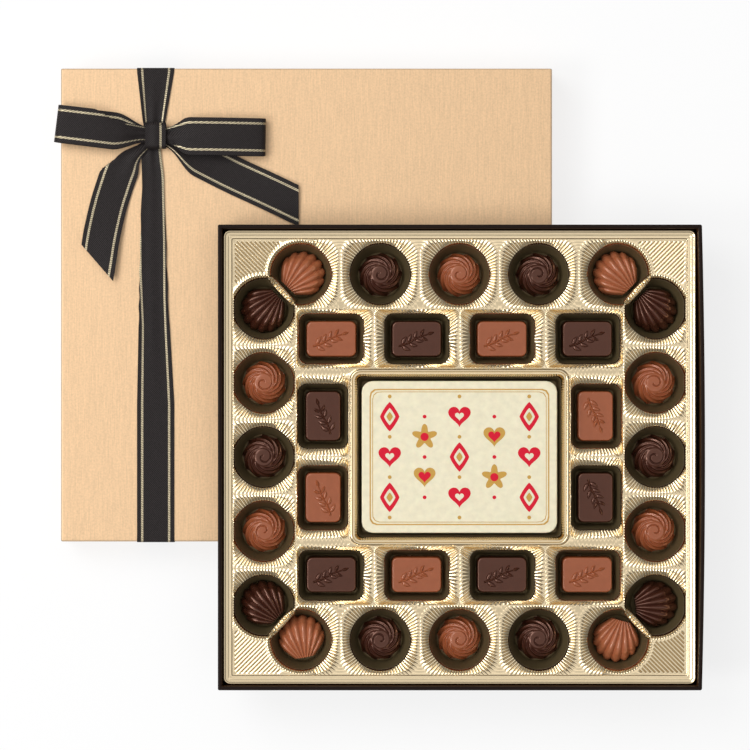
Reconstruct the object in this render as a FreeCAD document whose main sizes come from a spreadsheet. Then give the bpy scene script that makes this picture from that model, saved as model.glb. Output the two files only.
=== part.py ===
import FreeCAD, Part
import math
import os
import re

import Sketcher

# Driving sizes, in millimetres and degrees, with what each one measures
SIZES = {
    "board": (1.8, "thickness of the greyboard"),
    "paper": (0.25, "thickness of the wrapping paper"),
    "lid_height": (28.0, "outer height of the lid"),
    "lid_turn_in": (15.0, "height of the paper folded up inside the lid"),
    "lid_gap": (1.95, "gap from the lid's inside to the base, each side"),
    "headroom": (6.2, "height of the base's rim above the tray"),
    "base_from_left": (94.1, "the lid's left edge to the base's left wall"),
    "tray_gap": (0.5, "gap from the tray to the base, each side"),
    "tray_gauge": (0.6, "thickness of the formed sheet"),
    "tray_corner": (3.0, "radius of the tray's corners"),
    "tray_skirt": (6.0, "height of the tray's turned-down edge below its deck"),
    "flange_width": (4.85, "width of the raised edge of the tray"),
    "flange_rise": (2.0, "height of that edge above the deck"),
    "side_land": (0.4, "deck between the side wells and the raised edge"),
    "end_land": (2.65, "deck between the back and front wells and the raised edge"),
    "side_ring_land": (1.7, "deck between the round and the tile wells, at the sides"),
    "end_ring_land": (4.8, "the same at the back and front"),
    "side_frame_land": (0.5, "deck between the tile wells and the frame, at the sides"),
    "end_frame_land": (2.5, "the same at the back and front"),
    "sink": (3.4, "height of the deck above the round chocolates"),
    "round_radius": (13.2, "radius of the swirl and shell chocolates"),
    "round_height": (13.5, "height of a swirl chocolate"),
    "round_gap": (5.0, "gap round them at the mouth of a well"),
    "round_floor_gap": (1.2, "gap round them at the floor of a well"),
    "swirl_tier": (8.6, "height of a swirl's lower tier"),
    "swirl_tier_radius": (8.4, "radius at the top of that tier"),
    "swirl_foot": (2.2, "height of its upright foot"),
    "swirl_ledge": (0.9, "width of the ledge between the tiers"),
    "swirl_crown": (3.2, "radius of its flat top"),
    "swirl_bulge": (7.0, "radius of the side of its lower tier"),
    "swirl_top_bulge": (6.0, "radius of the side of its upper tier"),
    "swirl_crown_drop": (0.9, "height from its crown's edge to its top"),
    "swirl_flutes": (10, "number of flutes round the lower tier"),
    "swirl_flute_radius": (1.5, "radius of a flute"),
    "swirl_flute_lean": (42.0, "lean of a flute from upright"),
    "swirl_flute_turn": (35.0, "turn of a flute from radial"),
    "shell_height": (12.0, "height of a shell chocolate"),
    "shell_rim": (2.4, "height of its edge"),
    "shell_hinge": (9.0, "length of its hinge"),
    "shell_shoulder": (1.5, "where its round edge begins, past its middle"),
    "shell_ribs": (9, "number of its ribs"),
    "shell_rib_step": (10.0, "angle from rib to rib"),
    "shell_rib_start": (4.0, "distance from the hinge at which the ribs begin"),
    "shell_groove": (2.6, "angle of a groove between two ribs"),
    "shell_groove_depth": (0.7, "depth of a groove"),
    "pair_angle": (42.7, "slope of the line through the two wells of a corner"),
    "web": (1.2, "thickness of the web between those wells"),
    "web_land": (1.0, "gap between the floors of those wells"),
    "web_height": (9.0, "height of that web"),
    "tile_length": (30.2, "length of a rectangular chocolate"),
    "tile_width": (21.8, "width of a rectangular chocolate"),
    "tile_height": (10.5, "height of a rectangular chocolate"),
    "tile_corner": (2.6, "radius of its corners"),
    "tile_draft": (5.0, "slope of its sides from upright"),
    "tile_edge": (0.7, "radius of its top edge"),
    "tile_gap": (3.9, "gap round it at the mouth of a well"),
    "tile_floor_gap": (0.9, "gap round it at the floor of a well"),
    "tile_inset": (4.8, "end tiles of a row, in from the side tiles"),
    "tile_column_pitch": (47.8, "distance between the two side tiles"),
    "plaque_width": (114.3, "width of the plaque"),
    "plaque_depth": (88.9, "depth of the plaque"),
    "plaque_corner": (6.4, "radius of the plaque's corners"),
    "plaque_edge": (0.8, "radius of the top edge of its face"),
    "slab_height": (6.5, "thickness of its dark slab"),
    "face_height": (2.5, "thickness of its cream face"),
    "plaque_gap": (3.6, "gap round the plaque at the mouth of its well"),
    "plaque_floor_gap": (1.2, "gap round the plaque at the floor of its well"),
    "plaque_sink": (2.4, "height of the deck above the plaque"),
    "frame_width": (3.8, "width of the raised frame round the plaque"),
    "frame_rise": (1.2, "height of that frame above the deck"),
    "ribbon_width": (22.0, "width of the ribbon"),
    "ribbon_gauge": (0.45, "thickness of the ribbon"),
    "ribbon_from_left": (56.0, "the lid's left edge to the middle of the band"),
    "ribbon_end_gap": (0.6, "height at which the glued ends of the band stop"),
    "band_waist": (12.5, "width of the band under the knot"),
    "band_taper_back": (34.0, "length over which it narrows behind the knot"),
    "band_taper_front": (158.0, "length over which it narrows before the knot"),
    "knot_from_back": (40.0, "the lid's back edge to the middle of the knot"),
    "knot_length": (13.5, "length of the knot along the bow"),
    "knot_depth": (15.0, "depth of the knot across the bow"),
    "knot_room": (3.7, "height inside the knot"),
    "knot_corner": (1.9, "radius of the knot's outer edges"),
    "knot_gap": (2.0, "length past the knot's ends over which the bow stays drawn in"),
    "loop_waist": (9.0, "width of a loop in the knot"),
    "loop_pinch": (3.0, "height of a loop in the knot"),
    "loop_bend": (3.6, "radius of a loop's outer end"),
    "loop_crown": (150.0, "radius of a loop's upper side"),
    "loop_start": (0.3, "gap from the middle of the knot to a loop"),
    "left_loop_reach": (58.9, "the knot's middle to the end of the left loop"),
    "left_loop_flare": (30.0, "length over which the left loop widens"),
    "left_loop_turn": (7.0, "turn of the left loop towards the back"),
    "right_loop_reach": (65.3, "the knot's middle to the end of the right loop"),
    "right_loop_flare": (20.0, "length over which the right loop widens"),
    "right_loop_turn": (-1.0, "turn of the right loop towards the back"),
    "tail_start": (2.0, "gap from the middle of the knot to a tail"),
    "tail_neck": (4.0, "width of a tail in the knot"),
    "tail_clearance": (1.5, "gap from the left tail to the knot's wall"),
    "left_tail_turn": (106.5, "turn of the left tail from the right, clockwise"),
    "left_tail_length": (76.4, "length of the left tail"),
    "left_tail_cut": (15.0, "slant of the left tail's end"),
    "left_tail_flare": (20.0, "length over which the left tail widens"),
    "left_tail_root": (4.25, "the knot's left end to the start of the left tail's line"),
    "right_tail_turn": (25.0, "turn of the right tail from the right, clockwise"),
    "right_tail_length": (93.0, "length of the right tail"),
    "right_tail_flare": (22.0, "length over which the right tail widens"),
    "bow_clearance": (2.1, "gap from the right tail to the base"),
}

# Sizes that follow from the driving ones, from the plaque in the middle out to the lid
FITS = {
    "round_mouth": "round_radius + round_gap",
    "round_floor": "round_radius + round_floor_gap",
    "tile_mouth_width": "tile_width + 2 * tile_gap",
    "frame_half_width": "plaque_width / 2 + plaque_gap + frame_width",
    "frame_half_depth": "plaque_depth / 2 + plaque_gap + frame_width",
    "tile_column_x": "frame_half_width + side_frame_land + tile_mouth_width / 2",
    "tile_row_y": "frame_half_depth + end_frame_land + tile_mouth_width / 2",
    "tile_row_pitch": "(tile_column_x - tile_inset) / 1.5",
    "column_x": "tile_column_x + tile_mouth_width / 2 + side_ring_land + round_mouth",
    "row_y": "tile_row_y + tile_mouth_width / 2 + end_ring_land + round_mouth",
    "pair_distance": "2 * round_floor + web_land",
    "row_pitch": "(column_x - pair_distance * cos(pair_angle)) / 2",
    "column_pitch": "(row_y - pair_distance * sin(pair_angle)) / 2",
    "tray_width": "2 * (column_x + round_mouth + side_land + flange_width)",
    "tray_depth": "2 * (row_y + round_mouth + end_land + flange_width)",
    "deck": "tray_gauge + round_height + sink",
    "plaque_floor": "deck - plaque_sink - face_height - slab_height",
    "wall": "board + 2 * paper",
    "base_width": "tray_width + 2 * (tray_gap + wall)",
    "base_depth": "tray_depth + 2 * (tray_gap + wall)",
    "base_height": "wall + deck + flange_rise + headroom",
    "lid_width": "base_width + 2 * (lid_gap + wall)",
    "lid_depth": "base_depth + 2 * (lid_gap + wall)",
    "tail_half_rise": "ribbon_width / 2 / cos(right_tail_turn)",
    "neck_end": "knot_length / 2 + knot_gap",
    "tail_drop": "right_tail_length * sin(right_tail_turn) + tail_half_rise",
    "base_from_back": "knot_from_back + tail_drop + bow_clearance",
    "loop_end": "left_loop_reach * cos(left_loop_turn) + ribbon_width / 2 * sin(left_loop_turn)",
    "overhang": "loop_end - ribbon_from_left",
    "lid_x": "(overhang - base_from_left - base_width + lid_width) / 2",
    "lid_y": "(base_from_back + base_depth - ribbon_gauge - lid_depth) / 2",
    "base_x": "lid_x - lid_width / 2 + base_from_left + base_width / 2",
    "base_y": "lid_y + lid_depth / 2 - base_from_back - base_depth / 2",
    "tray_z": "lid_height + wall",
    "knot_x": "lid_x - lid_width / 2 + ribbon_from_left",
    "knot_y": "lid_y + lid_depth / 2 - knot_from_back",
    "tail_z": "2 * ribbon_gauge",
    "loop_z": "3 * ribbon_gauge",
}

doc = FreeCAD.newDocument("chocolate_box")
sheet = doc.addObject("Spreadsheet::Sheet", "Sizes")
for row, (alias, (size, meaning)) in enumerate(SIZES.items(), start=1):
    sheet.set(f"A{row}", alias)
    sheet.set(f"B{row}", str(size))
    sheet.setAlias(f"B{row}", alias)
    sheet.set(f"C{row}", meaning)
doc.recompute()

parts = []


def cells(formula):
    """The formula as an expression of the sheet's cells."""

    def expand(match):
        word = match[0]
        if word in FITS:
            return f"({cells(FITS[word])})"
        return f"Sizes.{word}" if word in SIZES else word

    return re.sub(r"[a-z][a-z_]*", expand, formula)


def number(formula):
    """The number that a formula gives."""
    return float(sheet.evalExpression(cells(formula)))


def bind(thing, **formulas):
    """Binds properties to formulas. A double underscore in a name stands for a dot."""
    for name, formula in formulas.items():
        thing.setExpression(name.replace("__", "."), cells(formula))


def place(thing, x="0", y="0", z="0", turn="0"):
    """Puts a thing at x, y, z, turned about Z."""
    thing.Placement.Rotation = FreeCAD.Rotation(FreeCAD.Vector(0, 0, 1), number(turn))
    bind(thing, Placement__Base__x=x, Placement__Base__y=y, Placement__Base__z=z)
    if turn != "0":
        bind(thing, Placement__Rotation__Angle=turn)


def part(thing, name, x, y, z, turn="0"):
    """Names a finished sub-part and puts it in its place."""
    thing.Label = name
    place(thing, x, y, z, turn)
    parts.append(thing)


def block(name, width, depth, height, low="0"):
    """A block centred on the Z axis, whose underside is at the height low."""
    box = doc.addObject("Part::Box", name)
    bind(box, Length=width, Width=depth, Height=height)
    place(box, f"-({width}) / 2", f"-({depth}) / 2", low)
    return box


def cone(name, low_radius, high_radius, height, x, y, z):
    """An upright cone."""
    shape = doc.addObject("Part::Cone", name)
    bind(shape, Radius1=low_radius, Radius2=high_radius, Height=height)
    place(shape, x, y, z)
    return shape


def cut(name, base, tool):
    """The base with the tool cut out of it."""
    result = doc.addObject("Part::Cut", name)
    result.Base, result.Tool = base, tool
    return result


def common(name, base, tool):
    """What the base and the tool share."""
    result = doc.addObject("Part::Common", name)
    result.Base, result.Tool = base, tool
    return result


def fuse(name, shapes):
    """The shapes joined into one."""
    result = doc.addObject("Part::MultiFuse", name)
    result.Shapes = shapes
    return result


def copy(name, original, x, y, z, turn="0"):
    """A linked copy of a form, in its own place."""
    link = doc.addObject("App::Link", name)
    link.LinkedObject = original
    place(link, x, y, z, turn)
    return link


def sketch_on(body, name, role, offset="0"):
    """A sketch on one of the body's own planes, moved along its normal by the offset."""
    sketch = body.newObject("Sketcher::SketchObject", name)
    plane = next(f for f in body.Origin.OriginFeatures if f.Role == role)
    sketch.AttachmentSupport = (plane, [""])
    sketch.MapMode = "FlatFace"
    bind(sketch, AttachmentOffset__Base__z=offset)
    return sketch


def hold(sketch, kind, *where, formula):
    """Adds a constraint bound to a formula."""
    index = sketch.addConstraint(Sketcher.Constraint(kind, *where, number(formula)))
    sketch.setExpression(f"Constraints[{index}]", cells(formula))


def arc_between(start, end, radius):
    """The short arc from start to end that turns left."""
    chord = end - start
    left = FreeCAD.Vector(-chord.y, chord.x, 0).normalize()
    centre = (start + end) / 2 + left * math.sqrt(radius**2 - (chord.Length / 2) ** 2)
    circle = Part.Circle(centre, FreeCAD.Vector(0, 0, 1), radius)
    return Part.ArcOfCircle(circle, circle.parameter(start), circle.parameter(end))


def outline(sketch, corners):
    """Draws a closed outline, anticlockwise. A corner is x, y and, where a round stretch
    follows it, that stretch's radius, and "in" where the stretch is hollow."""
    spots = [FreeCAD.Vector(number(c[0]), number(c[1]), 0) for c in corners]
    ends = []
    for i, corner in enumerate(corners):
        start, end = spots[i], spots[(i + 1) % len(spots)]
        hollow = corner[3:] == ("in",)
        if len(corner) == 2:
            shape = Part.LineSegment(start, end)
        elif hollow:
            shape = arc_between(end, start, number(corner[2]))
        else:
            shape = arc_between(start, end, number(corner[2]))
        edge = sketch.addGeometry(shape, False)
        ends.append((edge, 2, 1) if hollow else (edge, 1, 2))
        if len(corner) > 2:
            hold(sketch, "Radius", edge, formula=corner[2])
    for i, (edge, first, last) in enumerate(ends):
        following, start, _ = ends[(i + 1) % len(ends)]
        sketch.addConstraint(Sketcher.Constraint("Coincident", edge, last, following, start))
        hold(sketch, "DistanceX", edge, first, formula=corners[i][0])
        hold(sketch, "DistanceY", edge, first, formula=corners[i][1])


def rounded(width, depth, radius, middle="0"):
    """The corners of a rounded rectangle, for outline. Its middle is moved along y."""
    x, y, r = f"({width}) / 2", f"({depth}) / 2", f"({radius})"
    up, down = f"{middle} + {y}", f"{middle} - {y}"
    return [
        (f"-{x} + {r}", down),
        (f"{x} - {r}", down, r),
        (x, f"{down} + {r}"),
        (x, f"{up} - {r}", r),
        (f"{x} - {r}", up),
        (f"-{x} + {r}", up, r),
        (f"-{x}", f"{up} - {r}"),
        (f"-{x}", f"{down} + {r}", r),
    ]


def pad(body, sketch, length, taper="0"):
    """Raises a sketch into a solid. A positive taper widens it on the way."""
    feature = body.newObject("PartDesign::Pad", f"{sketch.Name}_pad")
    feature.Profile = sketch
    bind(feature, Length=length)
    if taper != "0":
        bind(feature, TaperAngle=taper)
    return feature


def pad_across(body, sketch, length):
    """Raises a sketch to both sides of its plane."""
    feature = pad(body, sketch, length)
    feature.SideType = "Symmetric"
    return feature


def prism(name, width, depth, radius, height, low="0", taper="0"):
    """A body with a rounded rectangle for its plan, standing on the height low."""
    body = doc.addObject("PartDesign::Body", name)
    sketch = sketch_on(body, f"{name}_plan", "XY_Plane", low)
    outline(sketch, rounded(width, depth, radius))
    pad(body, sketch, height, taper)
    return body


def soften_top(body, radius):
    """Rounds the edges of a body's top face."""
    doc.recompute()
    base = body.Tip
    heights = [face.CenterOfMass.z for face in base.Shape.Faces]
    top = heights.index(max(heights)) + 1
    feature = body.newObject("PartDesign::Fillet", f"{body.Name}_edge")
    feature.Base = (base, [f"Face{top}"])
    bind(feature, Radius=radius)


# The lid and the base, each a tray of board in a skin of paper


def board_tray(name, width, depth, height, room_low):
    """A tray of board, a paper's thickness inside its skin, hollow from the height room_low."""
    tall = f"{height} - 2 * paper"
    inset = "2 * (paper + board)"
    whole = block(f"{name}_whole", f"{width} - 2 * paper", f"{depth} - 2 * paper", tall, "paper")
    room_size = f"{width} - {inset}", f"{depth} - {inset}", f"{tall} - board"
    room = block(f"{name}_room", *room_size, room_low)
    return cut(name, whole, room)


def paper_skin(name, width, depth, height, mouth_low, turn_low, turn_height):
    """Paper round a tray of board, turned in over the edge of its mouth."""

    def inset(by):
        return f"{width} - 2 * {by}", f"{depth} - 2 * {by}"

    whole = block(f"{name}_whole", width, depth, height)
    core = block(f"{name}_core", *inset("paper"), f"{height} - 2 * paper", "paper")
    shell = cut(f"{name}_shell", whole, core)
    mouth = block(f"{name}_mouth", *inset("wall"), "paper", mouth_low)
    skin = cut(f"{name}_skin", shell, mouth)
    turned = block(f"{name}_turned", *inset("(paper + board)"), turn_height, turn_low)
    room = block(f"{name}_room", *inset("wall"), turn_height, turn_low)
    return fuse(name, [skin, cut(f"{name}_turn_in", turned, room)])


def make_box():
    """The lid, open side down, and the base that stands on it."""
    lid = "lid_width", "lid_depth", "lid_height"
    base = "base_width", "base_depth", "base_height"
    lid_place = "lid_x", "lid_y", "0"
    base_place = "base_x", "base_y", "lid_height"
    part(board_tray("lid_board", *lid, "paper"), "lid_board", *lid_place)
    skin = paper_skin("lid_wrap", *lid, "0", "paper", "lid_turn_in - paper")
    part(skin, "lid_wrap", *lid_place)
    floor = "paper + board"
    part(board_tray("base_board", *base, floor), "base_board", *base_place)
    turned = f"base_height - paper - ({floor})"
    skin = paper_skin("base_wrap", *base, "base_height - paper", floor, turned)
    part(skin, "base_wrap", *base_place)
    liner = doc.addObject("Part::Box", "base_liner")
    bind(liner, Length="base_width - 2 * wall", Width="base_depth - 2 * wall", Height="paper")
    part(
        liner,
        "base_liner",
        "base_x - base_width / 2 + wall",
        "base_y - base_depth / 2 + wall",
        f"lid_height + {floor}",
    )


# Where the chocolates lie, from the middle of the tray


def round_rows():
    """Each swirl's kind, side, number and place."""
    for side, sign in (("back", 1), ("front", -1)):
        for i, kind in enumerate(("dark", "milk", "dark")):
            yield f"{kind}_swirl_{side}_{i + 1}", f"{i - 1} * row_pitch", f"{sign} * row_y"
    for side, sign in (("left", -1), ("right", 1)):
        for i, kind in enumerate(("milk", "dark", "milk")):
            yield f"{kind}_swirl_{side}_{i + 1}", f"{sign} * column_x", f"{1 - i} * column_pitch"


def corner_pairs():
    """Each corner's name and signs, and the places of its two wells."""
    for end, up in (("back", 1), ("front", -1)):
        for side, right in (("left", -1), ("right", 1)):
            row_well = f"{2 * right} * row_pitch", f"{up} * row_y"
            column_well = f"{right} * column_x", f"{2 * up} * column_pitch"
            yield f"{end}_{side}", right, up, row_well, column_well


def tile_rows():
    """Each tile's name, place and turn."""
    for side, sign, names in (
        ("back", 1, "milk dark milk dark"),
        ("front", -1, "dark milk dark milk"),
    ):
        for i, kind in enumerate(names.split()):
            x = f"{i - 1.5} * tile_row_pitch"
            yield f"{kind}_tile_{side}_{i + 1}", x, f"{sign} * tile_row_y", "0"
    for side, sign, names in (("left", -1, "dark milk"), ("right", 1, "milk dark")):
        for i, kind in enumerate(names.split()):
            y = f"{0.5 - i} * tile_column_pitch"
            yield f"{kind}_tile_{side}_{i + 1}", f"{sign} * tile_column_x", y, f"{-sign * 90}"


# The formed tray


def edge_and_deck():
    """The deck, with its raised hollow edge and its turned-down skirt."""
    low = "deck - tray_skirt"
    tall = "tray_skirt + flange_rise"
    whole = prism("tray_whole", "tray_width", "tray_depth", "tray_corner", tall, low)

    def inset(name, by, height, low):
        width, depth = f"tray_width - 2 * {by}", f"tray_depth - 2 * {by}"
        return prism(name, width, depth, "tray_corner - tray_gauge", height, low)

    field = inset("tray_field", "flange_width", "flange_rise", "deck")
    under = inset("tray_under", "tray_gauge", "tray_skirt - tray_gauge", low)
    ring = inset("tray_ring", "tray_gauge", "flange_rise", "deck - tray_gauge")
    island = inset("tray_island", "(flange_width - tray_gauge)", "flange_rise", "deck - tray_gauge")
    hollow = fuse("tray_hollow", [under, cut("tray_edge_hollow", ring, island)])
    return cut("tray_deck", cut("tray_pan", whole, field), hollow)


def middle_well():
    """The raised frame with the plaque's cup, and the room inside that cup."""
    taper = "atan((plaque_gap - plaque_floor_gap) / (deck + frame_rise - plaque_floor))"
    frame_corner = "plaque_corner + plaque_gap + frame_width"
    frame = prism(
        "tray_frame",
        "2 * frame_half_width",
        "2 * frame_half_depth",
        frame_corner,
        "tray_gauge + frame_rise",
        "deck - tray_gauge",
    )

    def cup(name, wall, low, high):
        more = f"2 * (plaque_floor_gap + {wall})"
        radius = f"plaque_corner + plaque_floor_gap + {wall}"
        width, depth = f"plaque_width + {more}", f"plaque_depth + {more}"
        return prism(name, width, depth, radius, f"{high} - ({low})", low, taper)

    outside = cup("tray_plaque_cup", "tray_gauge", "plaque_floor - tray_gauge", "deck")
    inside = cup("tray_plaque_room", "0", "plaque_floor", "deck + frame_rise")
    return [frame, outside], inside


def tile_well(name, wall, low):
    """The cup of a tile's well, or the room inside it, with a wall's thickness added all round."""
    more = f"2 * (tile_floor_gap + {wall})"
    radius = f"tile_corner + tile_floor_gap + {wall}"
    taper = "atan((tile_gap - tile_floor_gap) / deck)"
    length, width = f"tile_length + {more}", f"tile_width + {more}"
    return prism(name, length, width, radius, f"deck - {low}", low, taper)


def round_well(name, x, y):
    """The cup of a round well and the room inside it."""
    outside = "round_floor + tray_gauge", "round_mouth + tray_gauge", "deck"
    inside = "round_floor", "round_mouth", "deck - tray_gauge"
    cup = cone(f"{name}_cup", *outside, x, y, "0")
    return cup, cone(f"{name}_room", *inside, x, y, "tray_gauge")


def make_tray():
    """One formed sheet with a well for each chocolate."""
    cups, rooms = [edge_and_deck()], []
    solids, room = middle_well()
    cups += solids
    rooms.append(room)
    tile_cup = tile_well("tray_tile_cup", "tray_gauge", "0")
    tile_room = tile_well("tray_tile_room", "0", "tray_gauge")
    for name, x, y, turn in tile_rows():
        cups.append(copy(f"{name}_cup", tile_cup, x, y, "0", turn))
        rooms.append(copy(f"{name}_room", tile_room, x, y, "0", turn))
    for name, x, y in round_rows():
        cup, room = round_well(name, x, y)
        cups.append(cup)
        rooms.append(room)
    for name, right, up, row_well, column_well in corner_pairs():
        pair = [round_well(f"{name}_row", *row_well), round_well(f"{name}_column", *column_well)]
        cups += [cup for cup, _ in pair]
        both = fuse(f"{name}_rooms", [room for _, room in pair])
        web = corner_web(name, right, up, row_well, column_well)
        rooms.append(cut(f"{name}_room", both, web))
    every_room = doc.addObject("Part::Compound", "tray_rooms")
    every_room.Links = rooms
    tray = cut("tray", fuse("tray_cups", cups), every_room)
    part(tray, "tray", "base_x", "base_y", "tray_z")


def corner_web(name, right, up, row_well, column_well):
    """The low wall between the two wells of a corner."""
    web = doc.addObject("Part::Box", f"{name}_web")
    bind(web, Length="web", Width="2 * round_mouth", Height="web_height")
    turn = f"{-right * up} * pair_angle"
    middle_x, middle_y = (f"({a} + {b}) / 2" for a, b in zip(row_well, column_well))
    half_x, half_y = "web / 2", "round_mouth"
    place(
        web,
        f"{middle_x} - {half_x} * cos({turn}) + {half_y} * sin({turn})",
        f"{middle_y} - {half_x} * sin({turn}) - {half_y} * cos({turn})",
        "tray_gauge",
        turn,
    )
    return web


# The chocolates


def swirl_form():
    """A fluted rosette: two round tiers, with flutes that lean round the lower one."""
    body = doc.addObject("PartDesign::Body", "swirl_form")
    sketch = sketch_on(body, "swirl_profile", "XZ_Plane")
    outline(
        sketch,
        [
            ("0", "0"),
            ("round_radius", "0"),
            ("round_radius", "swirl_foot", "swirl_bulge"),
            ("swirl_tier_radius", "swirl_tier"),
            ("swirl_tier_radius - swirl_ledge", "swirl_tier", "swirl_top_bulge"),
            ("swirl_crown", "round_height - swirl_crown_drop"),
            ("0", "round_height"),
        ],
    )
    turned = body.newObject("PartDesign::Revolution", "swirl_turned")
    turned.Profile = sketch
    turned.ReferenceAxis = (sketch, ["V_Axis"])
    turned.Angle = 360
    doc.recompute()
    flute = body.newObject("PartDesign::SubtractiveCylinder", "swirl_flute")
    bind(flute, Radius="swirl_flute_radius", Height="2 * round_height")
    lean, side = number("swirl_flute_lean"), number("swirl_flute_turn")
    flute.Placement.Rotation = FreeCAD.Rotation(FreeCAD.Vector(0, 1, 0), -lean).multiply(
        FreeCAD.Rotation(FreeCAD.Vector(1, 0, 0), side)
    )
    middle = "(round_radius + swirl_tier_radius) / 2 + swirl_flute_radius"
    back = "round_height * cos(swirl_flute_turn)"
    bind(
        flute,
        Placement__Base__x=f"{middle} + {back} * sin(swirl_flute_lean)",
        Placement__Base__y="round_height * sin(swirl_flute_turn)",
        Placement__Base__z=f"(swirl_foot + swirl_tier) / 2 - {back} * cos(swirl_flute_lean)",
    )
    doc.recompute()
    ring = body.newObject("PartDesign::PolarPattern", "swirl_flute_ring")
    ring.Originals = [flute]
    upright = next(f for f in body.Origin.OriginFeatures if f.Role == "Z_Axis")
    ring.Axis = (upright, [""])
    ring.Angle = 360
    bind(ring, Occurrences="swirl_flutes")
    body.Tip = ring
    return body


def shell_form():
    """A scallop: a domed fan with raised ribs that spread from its hinge towards +Y."""
    hinge_y = "sqrt(round_radius ^ 2 - shell_hinge ^ 2 / 4)"
    edge_x = "sqrt(round_radius ^ 2 - shell_shoulder ^ 2)"
    fan = doc.addObject("PartDesign::Body", "shell_fan")
    sketch = sketch_on(fan, "shell_plan", "XY_Plane")
    outline(
        sketch,
        [
            ("-shell_hinge / 2", f"-{hinge_y}"),
            ("shell_hinge / 2", f"-{hinge_y}"),
            (edge_x, "shell_shoulder", "round_radius"),
            (f"-{edge_x}", "shell_shoulder"),
        ],
    )
    pad(fan, sketch, "shell_height")
    ribs = doc.addObject("PartDesign::Body", "shell_ribs")
    sketch = sketch_on(ribs, "shell_rib_plan", "XY_Plane")
    count = int(number("shell_ribs"))
    for i in range(count):
        turn = f"({i - (count - 1) / 2} * shell_rib_step)"
        half = "(shell_rib_step - shell_groove) / 2"
        sides = f"({turn} + {half})", f"({turn} - {half})"
        near, far = "shell_rib_start", "2 * round_radius"
        ways = [(sides[0], near), (sides[0], far), (sides[1], far), (sides[1], near)]
        corners = [(f"-{reach} * sin{way}", f"{reach} * cos{way} - {hinge_y}") for way, reach in ways]
        outline(sketch, corners[::-1])
    pad(ribs, sketch, "shell_height")
    rise = "(shell_height - shell_rim)"
    dome_radius = f"((round_radius ^ 2 + {rise} ^ 2) / (2 * {rise}))"

    def dome(name, radius):
        ball = doc.addObject("Part::Sphere", f"{name}_ball")
        bind(ball, Radius=radius)
        place(ball, z=f"shell_height - {dome_radius}")
        return common(name, fan, ball)

    core = dome("shell_core", f"{dome_radius} - shell_groove_depth")
    ribbed = common("shell_ribbed", dome("shell_skin", dome_radius), ribs)
    return fuse("shell_form", [core, ribbed])


def tile_form():
    """A small drafted bar with rounded corners and a soft top edge."""
    size = "tile_length", "tile_width", "tile_corner", "tile_height"
    body = prism("tile_form", *size, taper="-tile_draft")
    soften_top(body, "tile_edge")
    return body


def make_chocolates():
    """Every chocolate stands on the floor of its own well."""
    floor = "tray_z + tray_gauge"
    swirl, shell, tile = swirl_form(), shell_form(), tile_form()

    def put(form, name, x, y, turn="0"):
        link = copy(name, form, "0", "0", "0")
        part(link, name, f"base_x + {x}", f"base_y + {y}", floor, turn)

    for name, x, y in round_rows():
        put(swirl, name, x, y)
    # The way each shell's fan points, anticlockwise from the right
    fans = {
        "milk_shell_back_left": 45,
        "dark_shell_back_left": 225,
        "milk_shell_back_right": 135,
        "dark_shell_back_right": 315,
        "milk_shell_front_left": 100,
        "dark_shell_front_left": 135,
        "milk_shell_front_right": 255,
        "dark_shell_front_right": 5,
    }
    for corner, _, _, row_well, column_well in corner_pairs():
        for kind, well in (("milk", row_well), ("dark", column_well)):
            name = f"{kind}_shell_{corner}"
            put(shell, name, *well, f"{fans[name] - 90}")
    for name, x, y, turn in tile_rows():
        put(tile, name, x, y, turn)
    plaque = "plaque_width", "plaque_depth", "plaque_corner"
    slab_z = "tray_z + plaque_floor"
    part(prism("plaque_slab", *plaque, "slab_height"), "plaque_slab", "base_x", "base_y", slab_z)
    face = prism("plaque_face", *plaque, "face_height")
    soften_top(face, "plaque_edge")
    part(face, "plaque_face", "base_x", "base_y", f"{slab_z} + slab_height")


# The ribbon and its bow


def pocket(body, name, low, outlines):
    """Cuts outlines out of a body, down from the height low to its underside."""
    sketch = sketch_on(body, name, "XY_Plane", low)
    for corners in outlines:
        outline(sketch, corners)
    before = body.Shape.Volume
    feature = body.newObject("PartDesign::Pocket", f"{name}_cut")
    feature.Profile = sketch
    feature.Type = "ThroughAll"
    doc.recompute()
    if body.Shape.Volume >= before:
        raise ValueError(f"{name} cuts nothing")


def mirrored(corners):
    """The same outline on the other side of the X axis, still anticlockwise."""
    return [(x, f"-({y})") for x, y in reversed(corners)]


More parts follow.
